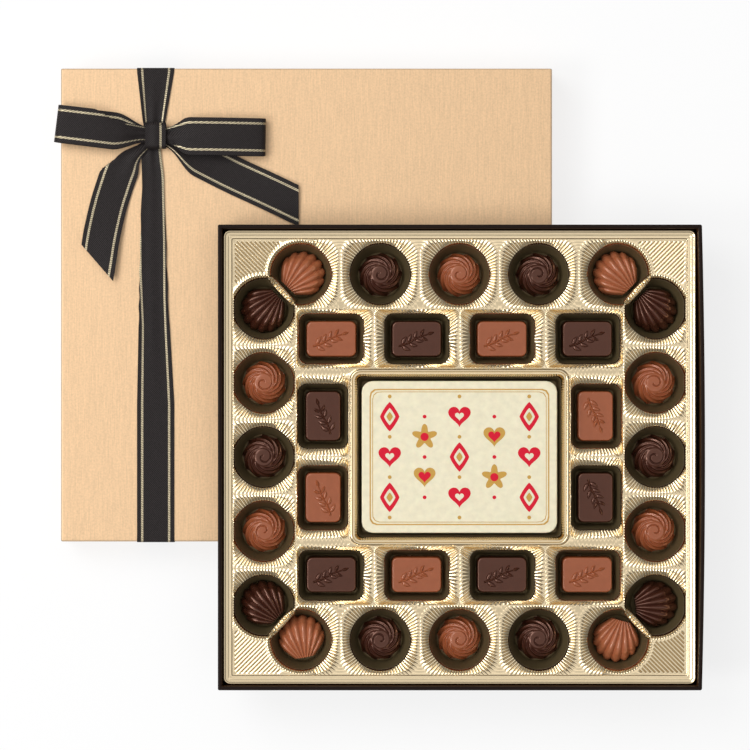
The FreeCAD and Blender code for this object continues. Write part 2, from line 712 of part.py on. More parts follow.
def make_band():
    """The ribbon over the lid and down its back and front, drawn in under the knot."""
    body = doc.addObject("PartDesign::Body", "ribbon_band")
    sketch = sketch_on(body, "band_profile", "YZ_Plane")
    edge, top = "lid_depth / 2", "lid_height"
    outline(
        sketch,
        [
            (f"-{edge} - ribbon_gauge", "ribbon_end_gap"),
            (f"-{edge}", "ribbon_end_gap"),
            (f"-{edge}", top),
            (edge, top),
            (edge, "ribbon_end_gap"),
            (f"{edge} + ribbon_gauge", "ribbon_end_gap"),
            (f"{edge} + ribbon_gauge", f"{top} + ribbon_gauge"),
            (f"-{edge} - ribbon_gauge", f"{top} + ribbon_gauge"),
        ],
    )
    pad_across(body, sketch, "ribbon_width")
    doc.recompute()
    knot = "(lid_depth / 2 - knot_from_back)"
    near = f"{knot} - knot_depth / 2 - band_taper_front"
    far = f"{knot} + knot_depth / 2 + band_taper_back"
    right = [
        ("ribbon_width / 2", near),
        ("ribbon_width", near),
        ("ribbon_width", far),
        ("ribbon_width / 2", far),
        ("band_waist / 2", f"{knot} + knot_depth / 2"),
        ("band_waist / 2", f"{knot} - knot_depth / 2"),
    ]
    left = [(f"-({x})", y) for x, y in reversed(right)]
    sketch = sketch_on(body, "band_waist", "XY_Plane", "lid_height + ribbon_gauge")
    outline(sketch, right)
    outline(sketch, left)
    before = body.Shape.Volume
    waist = body.newObject("PartDesign::Pocket", "band_waist_cut")
    waist.Profile = sketch
    bind(waist, Length="2 * ribbon_gauge")
    doc.recompute()
    if body.Shape.Volume >= before:
        raise ValueError("the band keeps its full width at the knot")
    part(body, "ribbon_band", "knot_x", "lid_y", "0")


def make_knot():
    """A sleeve of ribbon round the middle of the bow."""
    body = doc.addObject("PartDesign::Body", "bow_knot")
    sketch = sketch_on(body, "knot_section", "YZ_Plane")
    middle = "(2 * ribbon_gauge + knot_room / 2)"
    outside = "knot_depth", "knot_room + 2 * ribbon_gauge", "knot_corner"
    inside = "knot_depth - 2 * ribbon_gauge", "knot_room", "knot_corner - ribbon_gauge"
    outline(sketch, rounded(*outside, middle))
    outline(sketch, rounded(*inside, middle))
    pad_across(body, sketch, "knot_length")
    part(body, "bow_knot", "knot_x", "knot_y", "lid_height")


def make_loop(side, turn):
    """A hairpin of ribbon, pinched at the knot, with a round outer end."""
    name, reach, flare = f"bow_loop_{side}", f"{side}_loop_reach", f"{side}_loop_flare"
    body = doc.addObject("PartDesign::Body", name)
    sketch = sketch_on(body, f"{name}_profile", "XZ_Plane")
    start, bend = "loop_start", f"{reach} - loop_bend"
    low, high = "loop_z", "loop_z + 2 * loop_bend"
    middle, pinch = "loop_z + loop_bend", "loop_z + loop_pinch"
    inner = "loop_bend - ribbon_gauge"
    outline(
        sketch,
        [
            (start, low),
            (bend, low, "loop_bend"),
            (reach, middle, "loop_bend"),
            (bend, high, "loop_crown"),
            ("neck_end", pinch),
            (start, pinch),
            (start, f"{pinch} - ribbon_gauge"),
            ("neck_end", f"{pinch} - ribbon_gauge", "loop_crown", "in"),
            (bend, f"{high} - ribbon_gauge", inner, "in"),
            (f"{reach} - ribbon_gauge", middle, inner, "in"),
            (bend, f"{low} + ribbon_gauge"),
            (start, f"{low} + ribbon_gauge"),
        ],
    )
    pad_across(body, sketch, "ribbon_width")
    doc.recompute()
    beside = [
        ("0", "loop_waist / 2"),
        ("neck_end", "loop_waist / 2"),
        (flare, "ribbon_width / 2"),
        (flare, "ribbon_width"),
        ("0", "ribbon_width"),
    ]
    pocket(body, f"{name}_waist", "loop_z + loop_crown", [beside, mirrored(beside)])
    part(body, name, "knot_x", "knot_y", "lid_height", turn)


def along(x, y, turn, ahead, aside):
    """The place reached from x, y by going ahead at a clockwise turn, and aside to its left."""
    return (
        f"{x} + ({ahead}) * cos({turn}) + ({aside}) * sin({turn})",
        f"{y} - ({ahead}) * sin({turn}) + ({aside}) * cos({turn})",
    )


def make_tail(side, corners):
    """A flat length of ribbon that leaves the knot."""
    name = f"bow_tail_{side}"
    body = doc.addObject("PartDesign::Body", name)
    sketch = sketch_on(body, f"{name}_plan", "XY_Plane", "tail_z")
    outline(sketch, corners)
    pad(body, sketch, "ribbon_gauge")
    part(body, name, "knot_x", "knot_y", "lid_height")


def make_tails():
    """The left tail turns down the lid, and the right one slants across it."""
    half, neck = "ribbon_width / 2", "tail_neck / 2"
    root = "-(knot_length / 2 + left_tail_root)", "0", "left_tail_turn"
    beside = "-(knot_length / 2 + tail_clearance)"
    make_tail(
        "left",
        [
            ("-tail_start", neck),
            (root[0], neck),
            along(*root, "left_tail_flare", f"-{half}"),
            along(*root, "left_tail_length - left_tail_cut / 2", f"-{half}"),
            along(*root, "left_tail_length + left_tail_cut / 2", half),
            along(*root, "left_tail_flare + tail_neck", half),
            (beside, f"-{neck}"),
            ("-tail_start", f"-{neck}"),
        ],
    )
    root = "0", "0", "right_tail_turn"
    slant = "ribbon_width * tan(right_tail_turn) / 2"
    make_tail(
        "right",
        [
            along(*root, "tail_start", f"-{neck}"),
            along(*root, "neck_end", f"-{neck}"),
            along(*root, "right_tail_flare", f"-{half}"),
            along(*root, f"right_tail_length + {slant}", f"-{half}"),
            along(*root, f"right_tail_length - {slant}", half),
            along(*root, "right_tail_flare", half),
            along(*root, "neck_end", neck),
            along(*root, "tail_start", neck),
        ],
    )


def make_ribbon():
    """The band, and the bow that is tied on it."""
    make_band()
    make_knot()
    make_loop("left", "180 - left_loop_turn")
    make_loop("right", "right_loop_turn")
    make_tails()


def write_parts():
    """Checks every object, then writes each sub-part's shape under its own name."""
    doc.recompute()
    for thing in doc.Objects:
        if {"Invalid", "Error"} & set(thing.State):
            raise ValueError(f"{thing.Label} failed: {thing.State}")
    os.makedirs("parts", exist_ok=True)
    shapes = {thing.Label: Part.getShape(thing) for thing in parts}
    for name, shape in shapes.items():
        if shape.isNull() or not shape.isValid():
            raise ValueError(f"{name} has no valid shape")
    for name, shape in shapes.items():
        shape.exportStep(f"parts/{name}.step")


make_box()
make_tray()
make_chocolates()
make_ribbon()
write_parts()
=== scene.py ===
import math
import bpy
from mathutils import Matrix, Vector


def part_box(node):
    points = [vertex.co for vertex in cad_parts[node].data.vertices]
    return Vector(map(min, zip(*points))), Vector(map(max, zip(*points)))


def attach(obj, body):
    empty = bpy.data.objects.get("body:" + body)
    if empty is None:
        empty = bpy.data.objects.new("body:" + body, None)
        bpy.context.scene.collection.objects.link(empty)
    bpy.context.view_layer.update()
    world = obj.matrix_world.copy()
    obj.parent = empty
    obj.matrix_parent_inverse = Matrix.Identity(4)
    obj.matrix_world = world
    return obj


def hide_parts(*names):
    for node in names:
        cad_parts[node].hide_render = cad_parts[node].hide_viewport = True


bl_info = {
    "name": "Chocolate Box",
    "version": (1, 0, 0),
    "blender": (4, 5, 0),
    "location": "View3D > Sidebar > Chocolate Box",
    "description": "Dresses a chocolate box's frame: papers, pressed tray, chocolates, plaque and ribbon",
    "category": "Object",
}

import bmesh
import bpy
import numpy as np
from bpy.props import FloatProperty, FloatVectorProperty, IntProperty, PointerProperty
from mathutils import Matrix, Vector
from mathutils.geometry import delaunay_2d_cdt

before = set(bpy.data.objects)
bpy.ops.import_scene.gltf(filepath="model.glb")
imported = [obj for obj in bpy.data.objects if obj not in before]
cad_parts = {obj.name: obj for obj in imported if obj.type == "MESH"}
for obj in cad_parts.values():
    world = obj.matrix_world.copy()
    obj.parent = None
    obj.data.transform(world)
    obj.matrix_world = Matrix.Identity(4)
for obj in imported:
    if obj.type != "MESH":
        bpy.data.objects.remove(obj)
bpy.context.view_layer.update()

MM = 0.001
FULL_TURN = 2 * math.pi
QUARTER_TURN = math.pi / 2


# Properties


def size(name, value, description):
    """A length, given in millimetres."""
    return FloatProperty(name=name, description=description, default=value * MM, unit="LENGTH")


def colour(name, value, description):
    """A colour, in linear light."""
    return FloatVectorProperty(
        name=name, description=description, default=value, subtype="COLOR", min=0.0, max=1.0
    )


def factor(name, value, description):
    return FloatProperty(name=name, description=description, default=value)


def number(name, value, description):
    return IntProperty(name=name, description=description, default=value)


class StageSettings(bpy.types.PropertyGroup):
    camera_x: size("Camera X", -0.44, "Camera's place across the box")
    camera_y: size("Camera Y", 0.95, "Camera's place along the box")
    camera_height: size("Camera Height", 1828.0, "Height of the camera above the floor")
    lens: factor("Lens", 146.3, "Focal length of the camera in millimetres")
    floor: colour("Floor", (0.98, 0.98, 0.98), "Colour of the floor")
    key: factor("Key", 27.0, "Power of the soft key light in watts")
    left: factor("Left", 20.0, "Power of the smaller light at the left in watts")
    wash: factor("Wash", 0.76, "How far the floor is washed out to white in the picture")
    sky: factor("Sky", 1.1, "Level of the surrounding light")


class PaperSettings(bpy.types.PropertyGroup):
    gold: colour("Gold", (0.82, 0.555, 0.322), "Gold paper of the lid")
    dark: colour("Dark", (0.012, 0.0055, 0.0035), "Dark paper of the base")
    lining: colour("Lining", (0.055, 0.024, 0.010), "Brown paper inside the base")
    board: colour("Board", (0.30, 0.27, 0.23), "Bare greyboard")
    thick: size("Thick", 1.8, "Thickness of the board")
    turn_in: size("Turn In", 15.0, "How far the lid's paper turns up inside")
    corner: size("Corner", 1.0, "Radius of the wrapped upright corners")
    card_corner: size("Card Corner", 0.8, "Radius of the board's upright corners")
    edge: size("Edge", 1.1, "Radius of the wrapped edges")
    lip: size("Lip", 0.7, "Radius of the paper over the rim of the base")
    bulge: size("Bulge", 1.8, "How far the right side of the base bows out")


class TraySettings(bpy.types.PropertyGroup):
    gold: colour("Gold", (0.84, 0.68, 0.44), "Gold film of the tray")
    # Painted shade: the film's colour deep in the wells, darker where shade falls there
    deep: colour("Painted Well Shade", (0.20, 0.15, 0.072), "Gold film where it is drawn deep")
    gauge: size("Gauge", 0.6, "Thickness of the film")
    mouth: size("Mouth", 18.0, "Radius of a round well at its lip")
    foot: size("Foot", 13.7, "Radius of a round well at its floor")
    reach: size("Reach", 27.0, "Radius to which the flutes of a round well spread")
    corner_reach: size("Corner Reach", 20.0, "The same towards a corner of the tray")
    land: size("Land", 0.15, "Strip of deck left beside the flutes")
    collar_drop: size("Collar Drop", 1.3, "Depth of a well's lip below the deck")
    flutes: number("Flutes", 76, "Flutes round a round well")
    flute_depth: size("Flute Depth", 0.6, "Height of a flute from its valley to its crest")
    web_drop: size("Web Drop", 2.4, "Depth of the web between two corner wells")
    web_flat: size("Web Flat", 4.5, "Half length of the web's lowest part")
    web_inner: size("Web Inner", 11.0, "Half length of the web on its inner side")
    tile_gap: size("Tile Gap", 3.9, "Gap round a tile at the lip of its well")
    tile_corner: size("Tile Corner", 5.5, "Corner radius of a tile's well at its lip")
    groove: size("Groove", 1.85, "Pitch of the grooves in the corners")
    groove_depth: size("Groove Depth", 0.5, "Depth of those grooves")
    pleat: size("Pleat", 1.7, "Pitch of the pleats round a tile's well")
    bead: size("Bead", 1.4, "Pitch of the beads round the plaque's well")
    frame_width: size("Frame Width", 7.4, "Width of the frame round the plaque")
    frame_corner: size("Frame Corner", 7.0, "Corner radius of that frame")
    frame_rise: size("Frame Rise", 1.2, "Height of that frame above the deck")
    flange_width: size("Flange Width", 5.1, "Width of the raised edge")
    flange_rise: size("Flange Rise", 2.0, "Height of the raised edge above the deck")
    skirt: size("Skirt", 6.0, "Height of the turned-down edge")


class ChocolateSettings(bpy.types.PropertyGroup):
    milk: colour("Milk", (0.315, 0.084, 0.030), "Milk chocolate")
    # The shells' milk is lighter than the tiles' and swirls' milk: a painted highlight
    pale: colour("Pale", (0.395, 0.125, 0.054), "Milk chocolate of the shells")
    dark: colour("Dark", (0.042, 0.0115, 0.0065), "Dark chocolate")
    ridges: number("Ridges", 9, "Spiral ridges of a swirl")
    twist: factor("Twist", 2.1, "Turn of a ridge from the cap to the edge in radians")
    ridge_height: size("Ridge Height", 0.95, "Height of a ridge's wave either way")
    ribs: number("Ribs", 8, "Ribs of a shell")
    shell_radius: size("Shell Radius", 13.3, "Radius of a shell's fan")
    tile_corner: size("Tile Corner", 3.6, "Corner radius of a tile")


class PlaqueSettings(bpy.types.PropertyGroup):
    cream: colour("Cream", (0.87, 0.82, 0.60), "Cream face of the plaque")
    red: colour("Red", (0.70, 0.016, 0.040), "Red print")
    gold: colour("Gold", (0.62, 0.36, 0.085), "Gold print")
    corner: size("Corner", 6.4, "Corner radius of the plaque")
    ink: size("Ink", 0.08, "Thickness of the print")


class RibbonSettings(bpy.types.PropertyGroup):
    black: colour("Black", (0.0115, 0.0090, 0.0088), "Black of the ribbon")
    gold: colour("Gold", (0.53, 0.45, 0.30), "Gold of its stripes")
    width: size("Width", 22.0, "Width of the ribbon")
    gauge: size("Gauge", 0.4, "Thickness of the ribbon")
    stripe: size("Stripe", 1.3, "Width of a gold stripe")
    selvedge: size("Selvedge", 2.4, "Black outside a gold stripe")


# Shapes


def ease(share):
    """A smooth step from 0 to 1."""
    share = np.clip(share, 0.0, 1.0)
    return share * share * (3.0 - 2.0 * share)


def rounded_loop(low, high, radius, place):
    """Points of a rounded rectangle. place runs from 0 to 8: a side, then a corner, and so on."""
    side = np.floor(place / 2).astype(int) % 4
    part = place % 2
    centre_x = np.array([high[0], high[0], low[0], low[0]]) + radius * np.array([-1, -1, 1, 1])
    centre_y = np.array([low[1], high[1], high[1], low[1]]) + radius * np.array([1, -1, -1, 1])
    mix = np.minimum(part, 1.0)
    turn = QUARTER_TURN * (side - 1 + np.maximum(part - 1.0, 0.0))
    x = centre_x[side - 1] * (1 - mix) + centre_x[side] * mix + radius * np.cos(turn)
    y = centre_y[side - 1] * (1 - mix) + centre_y[side] * mix + radius * np.sin(turn)
    return np.stack([x, y], axis=1)


def even_places(width, depth, radius, count):
    """Places spaced evenly round a rounded rectangle."""
    lengths = np.full(8, QUARTER_TURN * radius)
    lengths[0::4] = width - 2 * radius
    lengths[2::4] = depth - 2 * radius
    ends = np.concatenate([[0.0], np.cumsum(lengths)])
    return np.interp(np.arange(count) / count * ends[-1], ends, np.arange(9))


def even_turns(count):
    """Turns spaced evenly round a circle."""
    return FULL_TURN * np.arange(count) / count


def corner_places(steps):
    """Places round the corners of a rounded rectangle, with none between."""
    return np.concatenate([2 * i + 1 + np.linspace(0, 1, steps + 1) for i in range(4)])


def plate_outline(low, high, corner, shrink, count):
    """Gives a function for a plate's outline, set in by a distance, its corners shrinking with it."""
    place = even_places(*(high - low), corner, count)

    def outline(inset):
        return rounded_loop(low + inset, high - inset, max(corner - shrink * inset, MM), place)

    return outline


def rounded_edge(radius, top):
    """Steps in and up over an edge. The last is flat, which keeps the shading of a large top even."""
    turns = np.linspace(0, QUARTER_TURN, 5)
    steps = [(radius * (1 - math.cos(turn)), top - radius * (1 - math.sin(turn))) for turn in turns]
    return [*steps, (radius + 0.5 * MM, top)]


def curve(points, count):
    """A smooth line through the points, as count points spaced evenly along it."""
    points = np.array(points, dtype=float)
    ends = np.vstack([2 * points[0] - points[1], points, 2 * points[-1] - points[-2]])
    share = np.linspace(0, 1, 40, endpoint=False)[:, None]
    runs = []
    for a, b, c, d in zip(ends, ends[1:], ends[2:], ends[3:]):
        bend = 2 * a - 5 * b + 4 * c - d
        twist = 3 * b - a - 3 * c + d
        runs.append(b + 0.5 * share * (c - a + share * (bend + share * twist)))
    line = np.vstack([*runs, points[-1:]])
    along = np.concatenate([[0.0], np.cumsum(np.linalg.norm(np.diff(line, axis=0), axis=1))])
    spots = np.linspace(0, along[-1], count)
    return np.stack([np.interp(spots, along, part) for part in line.T], axis=1)


def path_length(path):
    return np.linalg.norm(np.diff(path, axis=0), axis=1).sum()


def unit(ways):
    """Ways scaled to a length of 1."""
    return ways / np.linalg.norm(ways, axis=1)[:, None]


def inside(outline, spots):
    """Which spots lie inside a closed outline."""
    x0, y0 = outline.T
    x1, y1 = np.roll(outline, -1, axis=0).T
    x, y = spots[:, 0, None], spots[:, 1, None]
    rise = np.where(y1 == y0, 1.0, y1 - y0)
    crossed = ((y0 > y) != (y1 > y)) & (x < x0 + (y - y0) * (x1 - x0) / rise)
    return crossed.sum(axis=1) % 2 == 1


def box_of(name):
    """The lowest and highest corner of a CAD node as arrays."""
    low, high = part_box(name)
    return np.array(low), np.array(high)


def plan_of(name):
    """The middle of a CAD node as seen from above, and half its size."""
    low, high = box_of(name)
    return ((low + high) / 2)[:2], ((high - low) / 2)[:2]


def foot_of(name):
    """The middle of a CAD node's underside."""
    return Vector((*plan_of(name)[0], box_of(name)[0][2]))


class Skin:
    """The points and faces of one piece, gathered loop by loop"""

    def __init__(self):
        self.points = []
        self.faces = []
        self.marks = []

    def loop(self, x, y, z):
        """Adds points and gives their numbers."""
        spots = np.stack(np.broadcast_arrays(x, y, z), axis=-1).reshape(-1, 3)
        first = len(self.points)
        self.points += spots.tolist()
        return np.arange(first, first + len(spots))

    def outline(self, flat, height):
        """Adds a loop of flat points at a height."""
        return self.loop(flat[:, 0], flat[:, 1], height)

    def face(self, numbers, mark=0):
        """Adds a face. Its mark says which material it has."""
        self.faces.append([int(n) for n in numbers])
        self.marks.append(mark)

    def bands(self, *loops, mark=0):
        """Faces between loops of as many points, each with the next."""
        for low, high in zip(loops, loops[1:]):
            quads = np.stack([low, np.roll(low, -1), np.roll(high, -1), high], axis=1)
            self.faces += quads.tolist()
            self.marks += [mark] * len(quads)

    def stack(self, outline, profile, lined=None):
        """A closed form: an outline at each inset and height. The band lined has the second material."""
        loops = [self.outline(outline(inset), height) for inset, height in profile]
        for i, pair in enumerate(zip(loops, loops[1:])):
            self.bands(*pair, mark=int(i == lined))
        self.face(loops[0])
        self.face(loops[-1])

    def strand(self, low, high):
        """Faces between two open rows of points."""
        for quad in np.stack([low[:-1], low[1:], high[1:], high[:-1]], axis=1):
            self.face(quad)

    def stitch(self, coarse, fine):
        """Faces between a loop and one with a whole number of times as many points."""
        share = len(fine) // len(coarse)
        half = share // 2
        for i, start in enumerate(coarse):
            stop = coarse[(i + 1) % len(coarse)]
            run = [fine[(i * share + k) % len(fine)] for k in range(share + 1)]
            for k in range(share):
                self.face([start if k < half else stop, run[k], run[k + 1]])
            self.face([start, run[half], stop])

    def grid(self, numbers, marks=None, closed=False):
        """Faces of a sheet of points, closed or not along its first axis."""
        rows = numbers.shape[0] if closed else numbers.shape[0] - 1
        for i in range(rows):
            near, far = numbers[i], numbers[(i + 1) % numbers.shape[0]]
            quads = np.stack([near[:-1], near[1:], far[1:], far[:-1]], axis=1)
            self.faces += quads.tolist()
            self.marks += [0] * len(quads) if marks is None else list(marks)

    def fill(self, outer, holes, lines=()):
        """Fills the plane between an outline and the holes in it, keeping to lines drawn on it."""
        loops = [outer, *holes]
        numbers = np.concatenate([*loops, *lines])
        points = np.array(self.points)[:, :2]
        edges = []
        first = 0
        for loop in loops:
            edges += [(first + i, first + (i + 1) % len(loop)) for i in range(len(loop))]
            first += len(loop)
        for line in lines:
            edges += [(first + i, first + i + 1) for i in range(len(line) - 1)]
            first += len(line)
        flat = [Vector(spot) for spot in points[numbers]]
        made, _, faces, source, _, _ = delaunay_2d_cdt(flat, edges, [], 1, 1e-8)
        made = np.array([tuple(spot) for spot in made])
        faces = np.array(faces)
        middles = made[faces].mean(axis=1)
        keep = np.ones(len(faces), dtype=bool)
        for hole in holes:
            rim = points[hole]
            near = ((middles > rim.min(axis=0)) & (middles < rim.max(axis=0))).all(axis=1)
            chosen = np.flatnonzero(near)
            keep[chosen[inside(rim, middles[chosen])]] = False
        for face in faces[keep]:
            self.face([numbers[source[i][0]] for i in face])

    def prism(self, flat, low, high, mark):
        """A flat outline with a thickness."""
        bottom = self.outline(flat, low)
        top = self.outline(flat, high)
        self.bands(bottom, top, mark=mark)
        self.face(top, mark)
        self.face(bottom[::-1], mark)

    def mesh(self, name, materials, crease=None):
        """The finished mesh, with edges sharper than crease in degrees kept sharp."""
        made = bpy.data.meshes.new(name)
        made.from_pydata(self.points, [], self.faces)
        made.polygons.foreach_set("material_index", self.marks)
        for material in materials:
            made.materials.append(material)
        form = bmesh.new()
        form.from_mesh(made)
        bmesh.ops.remove_doubles(form, verts=form.verts, dist=0.001 * MM)
        bmesh.ops.recalc_face_normals(form, faces=form.faces)
        form.to_mesh(made)
        form.free()
        made.shade_smooth()
        if crease:
            made.set_sharp_from_angle(angle=math.radians(crease))
        return made

    def piece(self, name, materials, crease, body, slot, nodes):
        """The finished mesh as a piece of the same name."""
        add_piece(self.mesh(name, materials, crease), name, body, slot, nodes)


def add_piece(mesh, name, body, slot, nodes, spot=(0, 0, 0), turn=0.0):
    """Puts a mesh in the scene on its body, in place of its CAD nodes."""
    piece = bpy.data.objects.new(name, mesh)
    bpy.context.scene.collection.objects.link(piece)
    piece.matrix_world = Matrix.Translation(spot) @ Matrix.Rotation(turn, 4, "Z")
    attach(piece, body)
    if nodes:
        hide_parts(*nodes)
    return piece


# Materials


def node(tree, kind, inputs=None, **fields):
    """Adds a node, and sets or links its inputs."""
    made = tree.nodes.new(kind)
    for key, value in fields.items():
        setattr(made, key, value)
    for key, value in (inputs or {}).items():
        if isinstance(value, bpy.types.NodeSocket):
            tree.links.new(value, made.inputs[key])
        else:
            made.inputs[key].default_value = value
    return made


def finish(name, tint, roughness, metallic=0.0, specular=0.5):
    """A material with a plain shader, and its node tree and shader."""
    material = bpy.data.materials.new(name)
    material.use_nodes = True
    material.diffuse_color = (*tint, 1.0)
    tree = material.node_tree
    shader = tree.nodes["Principled BSDF"]
    shader.inputs["Base Color"].default_value = (*tint, 1.0)
    shader.inputs["Roughness"].default_value = roughness
    shader.inputs["Metallic"].default_value = metallic
    shader.inputs["Specular IOR Level"].default_value = specular
    return material, tree, shader


def noise(tree, scale, detail):
    """Noise over the piece, its scale one number or one for each axis."""
    place = node(tree, "ShaderNodeTexCoord").outputs["Object"]
    scale = scale if isinstance(scale, tuple) else (scale, scale, scale)
    spot = node(tree, "ShaderNodeMapping", {"Vector": place, "Scale": scale}).outputs["Vector"]
    inputs = {"Vector": spot, "Detail": detail, "Scale": 1.0}
    return node(tree, "ShaderNodeTexNoise", inputs).outputs["Fac"]


def weave(tree, turn, scale, distortion, detail, detail_scale):
    """Threads over the ribbon, turned from its coordinates by an angle in radians."""
    place = node(tree, "ShaderNodeTexCoord").outputs["UV"]
    inputs = {
        "Vector": node(tree, "ShaderNodeMapping", {"Vector": place, "Rotation": (0, 0, turn)}).outputs[0],
        "Scale": scale,
        "Distortion": distortion,
        "Detail": detail,
        "Detail Scale": detail_scale,
    }
    return node(tree, "ShaderNodeTexWave", inputs).outputs["Fac"]


def blend_tint(tree, shader, share, first, second):
    """The shader's colour runs from the first to the second with share."""
    inputs = {"Factor": share, "A": (*first, 1.0), "B": (*second, 1.0)}
    mixed = node(tree, "ShaderNodeMix", inputs, data_type="RGBA")
    tree.links.new(mixed.outputs["Result"], shader.inputs["Base Color"])


def shade(tree, shader, share, tint, low, high):
    """The shader's colour runs from a low to a high level of a tint with share."""
    levels = [tuple(min(1.0, part * level) for part in tint) for level in (low, high)]
    blend_tint(tree, shader, share, *levels)


def spread(tree, value, low, high, to_low, to_high):
    """Maps a value from one range to another."""
    inputs = {"Value": value, "From Min": low, "From Max": high, "To Min": to_low, "To Max": to_high}
    return node(tree, "ShaderNodeMapRange", inputs).outputs["Result"]


def follow(tree, shader, key, value, *ranges):
    """One of the shader's inputs follows a value, mapped from one range to another."""
    tree.links.new(spread(tree, value, *ranges), shader.inputs[key])


def relief(tree, shader, height, distance, strength=1.0):
    """Bumps from a height."""
    inputs = {"Height": height, "Distance": distance, "Strength": strength}
    tree.links.new(node(tree, "ShaderNodeBump", inputs).outputs["Normal"], shader.inputs["Normal"])


def gold_paper(tint):
    """Gold paper with a fine brushed grain."""
    material, tree, shader = finish("gold_paper", tint, roughness=0.48, metallic=0.35)
    brushed = noise(tree, (2200.0, 90.0, 2200.0), 3.0)
    cloudy = noise(tree, 900.0, 4.0)
    grain = node(tree, "ShaderNodeMath", {0: brushed, 1: cloudy}, operation="ADD").outputs["Value"]
    shade(tree, shader, spread(tree, grain, 0.7, 1.3, 0.0, 1.0), tint, 0.88, 1.10)
    follow(tree, shader, "Roughness", grain, 0.7, 1.3, 0.42, 0.56)
    relief(tree, shader, grain, 0.05 * MM, 0.5)
    return material


def dark_paper(name, tint):
    """Satin dark paper."""
    material, tree, shader = finish(name, tint, roughness=0.45, specular=0.1)
    grain = noise(tree, 1800.0, 3.0)
    shade(tree, shader, grain, tint, 0.75, 1.3)
    follow(tree, shader, "Roughness", grain, 0.3, 0.7, 0.38, 0.52)
    relief(tree, shader, grain, 0.03 * MM, 0.5)
    return material


def greyboard(tint):
    """Bare greyboard with fibres."""
    material, tree, shader = finish("greyboard", tint, roughness=0.9)
    fibre = noise(tree, (700.0, 220.0, 700.0), 6.0)
    shade(tree, shader, fibre, tint, 0.7, 1.3)
    relief(tree, shader, fibre, 0.1 * MM)
    return material


def gold_film(tint, deep, deck):
    """Pressed film with a mirror of gold, painted darker, rougher and less metallic deep in the wells,
    which paints the shade in the wells.
    """
    material, tree, shader = finish("gold_tray", tint, roughness=0.14, metallic=1.0)
    place = node(tree, "ShaderNodeTexCoord").outputs["Object"]
    height = node(tree, "ShaderNodeSeparateXYZ", {"Vector": place}).outputs["Z"]
    # How far the film lies below the deck, which sets how much painted shade the wells take
    drawn = spread(tree, height, deck - 2.6 * MM, deck - 4.4 * MM, 0.0, 1.0)
    blend_tint(tree, shader, drawn, tint, deep)
    follow(tree, shader, "Roughness", drawn, 0.0, 1.0, 0.14, 0.42)
    follow(tree, shader, "Metallic", drawn, 0.0, 1.0, 1.0, 0.5)
    relief(tree, shader, noise(tree, 160.0, 3.0), 0.12 * MM, 0.6)
    return material


def chocolate(name, tint, roughness, gloss=(1.0, 0.70, 0.60)):
    """Chocolate with a soft gloss and faint bloom."""
    material, tree, shader = finish(name, tint, roughness, specular=1.0)
    cloud = noise(tree, 240.0, 5.0)
    shade(tree, shader, cloud, tint, 0.86, 1.14)
    follow(tree, shader, "Roughness", cloud, 0.3, 0.7, roughness - 0.04, roughness + 0.05)
    shader.inputs["Specular Tint"].default_value = (*gloss, 1.0)
    shader.inputs["Subsurface Weight"].default_value = 0.08
    shader.inputs["Subsurface Scale"].default_value = 1.0 * MM
    shader.inputs["Subsurface Radius"].default_value = (1.0, 0.35, 0.2)
    relief(tree, shader, noise(tree, 1500.0, 2.0), 0.01 * MM, 0.5)
    return material


def ink(name, tint, roughness=0.45, metallic=0.0):
    """Printed colour with a faint mottle."""
    material, tree, shader = finish(name, tint, roughness, metallic, specular=0.08)
    shade(tree, shader, noise(tree, 900.0, 3.0), tint, 0.9, 1.1)
    return material


def ribbon_black(tint):
    """Black satin with a diagonal twill."""
    material, tree, shader = finish("ribbon_black", tint, roughness=0.5, specular=0.16)
    twill = weave(tree, turn=0.7, scale=3.6, distortion=2.0, detail=3.0, detail_scale=4.0)
    shade(tree, shader, twill, tint, 0.3, 3.0)
    follow(tree, shader, "Roughness", twill, 0.0, 1.0, 0.62, 0.42)
    relief(tree, shader, twill, 0.06 * MM)
    return material


def ribbon_gold(tint):
    """Gold thread wound along a stripe."""
    material, tree, shader = finish("ribbon_gold", tint, roughness=0.34, metallic=0.75)
    thread = weave(tree, turn=1.2, scale=3.2, distortion=1.5, detail=2.0, detail_scale=3.0)
    shade(tree, shader, thread, tint, 0.25, 1.25)
    relief(tree, shader, thread, 0.12 * MM)
    return material


# Stage

# How far the floor reaches each way, in metres
FLOOR_REACH = 9.0
# Light of the surroundings by height, from level at 0 to overhead at 1
LOW_SKY = ((0.0, 0.65), (0.14, 0.5), (0.30, 0.22), (0.62, 0.16), (0.76, 0.40))
HIGH_SKY = ((0.86, 1.0), (0.90, 1.0), (0.95, 0.66), (1.0, 0.62))
# The side that the surroundings are brighter on
BRIGHT_SIDE = (-0.6, 0.6, 0.5)
# The width and the place of each lamp, in metres
LAMPS = {"key": (1.7, (-1.4, 1.12, 2.24)), "left": (1.0, (-1.7, -0.5, 2.0))}


def floor_cover(stage):
    """A pale floor, washed out to white where it is seen."""
    cover, tree, shader = finish("floor", stage.floor, roughness=0.9, specular=0.0)
    path = node(tree, "ShaderNodeLightPath")
    seen = path.outputs["Is Camera Ray"]
    for ray in ("Is Glossy Ray", "Is Transmission Ray"):
        both = {0: seen, 1: path.outputs[ray]}
        seen = node(tree, "ShaderNodeMath", both, operation="MAXIMUM").outputs["Value"]
    share = spread(tree, seen, 0.0, 1.0, 0.0, stage.wash)
    white = node(tree, "ShaderNodeEmission", {"Strength": 1.0}).outputs["Emission"]
    mixed = node(tree, "ShaderNodeMixShader", {0: share, 1: shader.outputs["BSDF"], 2: white})
    tree.links.new(mixed.outputs["Shader"], tree.nodes["Material Output"].inputs["Surface"])
    return cover


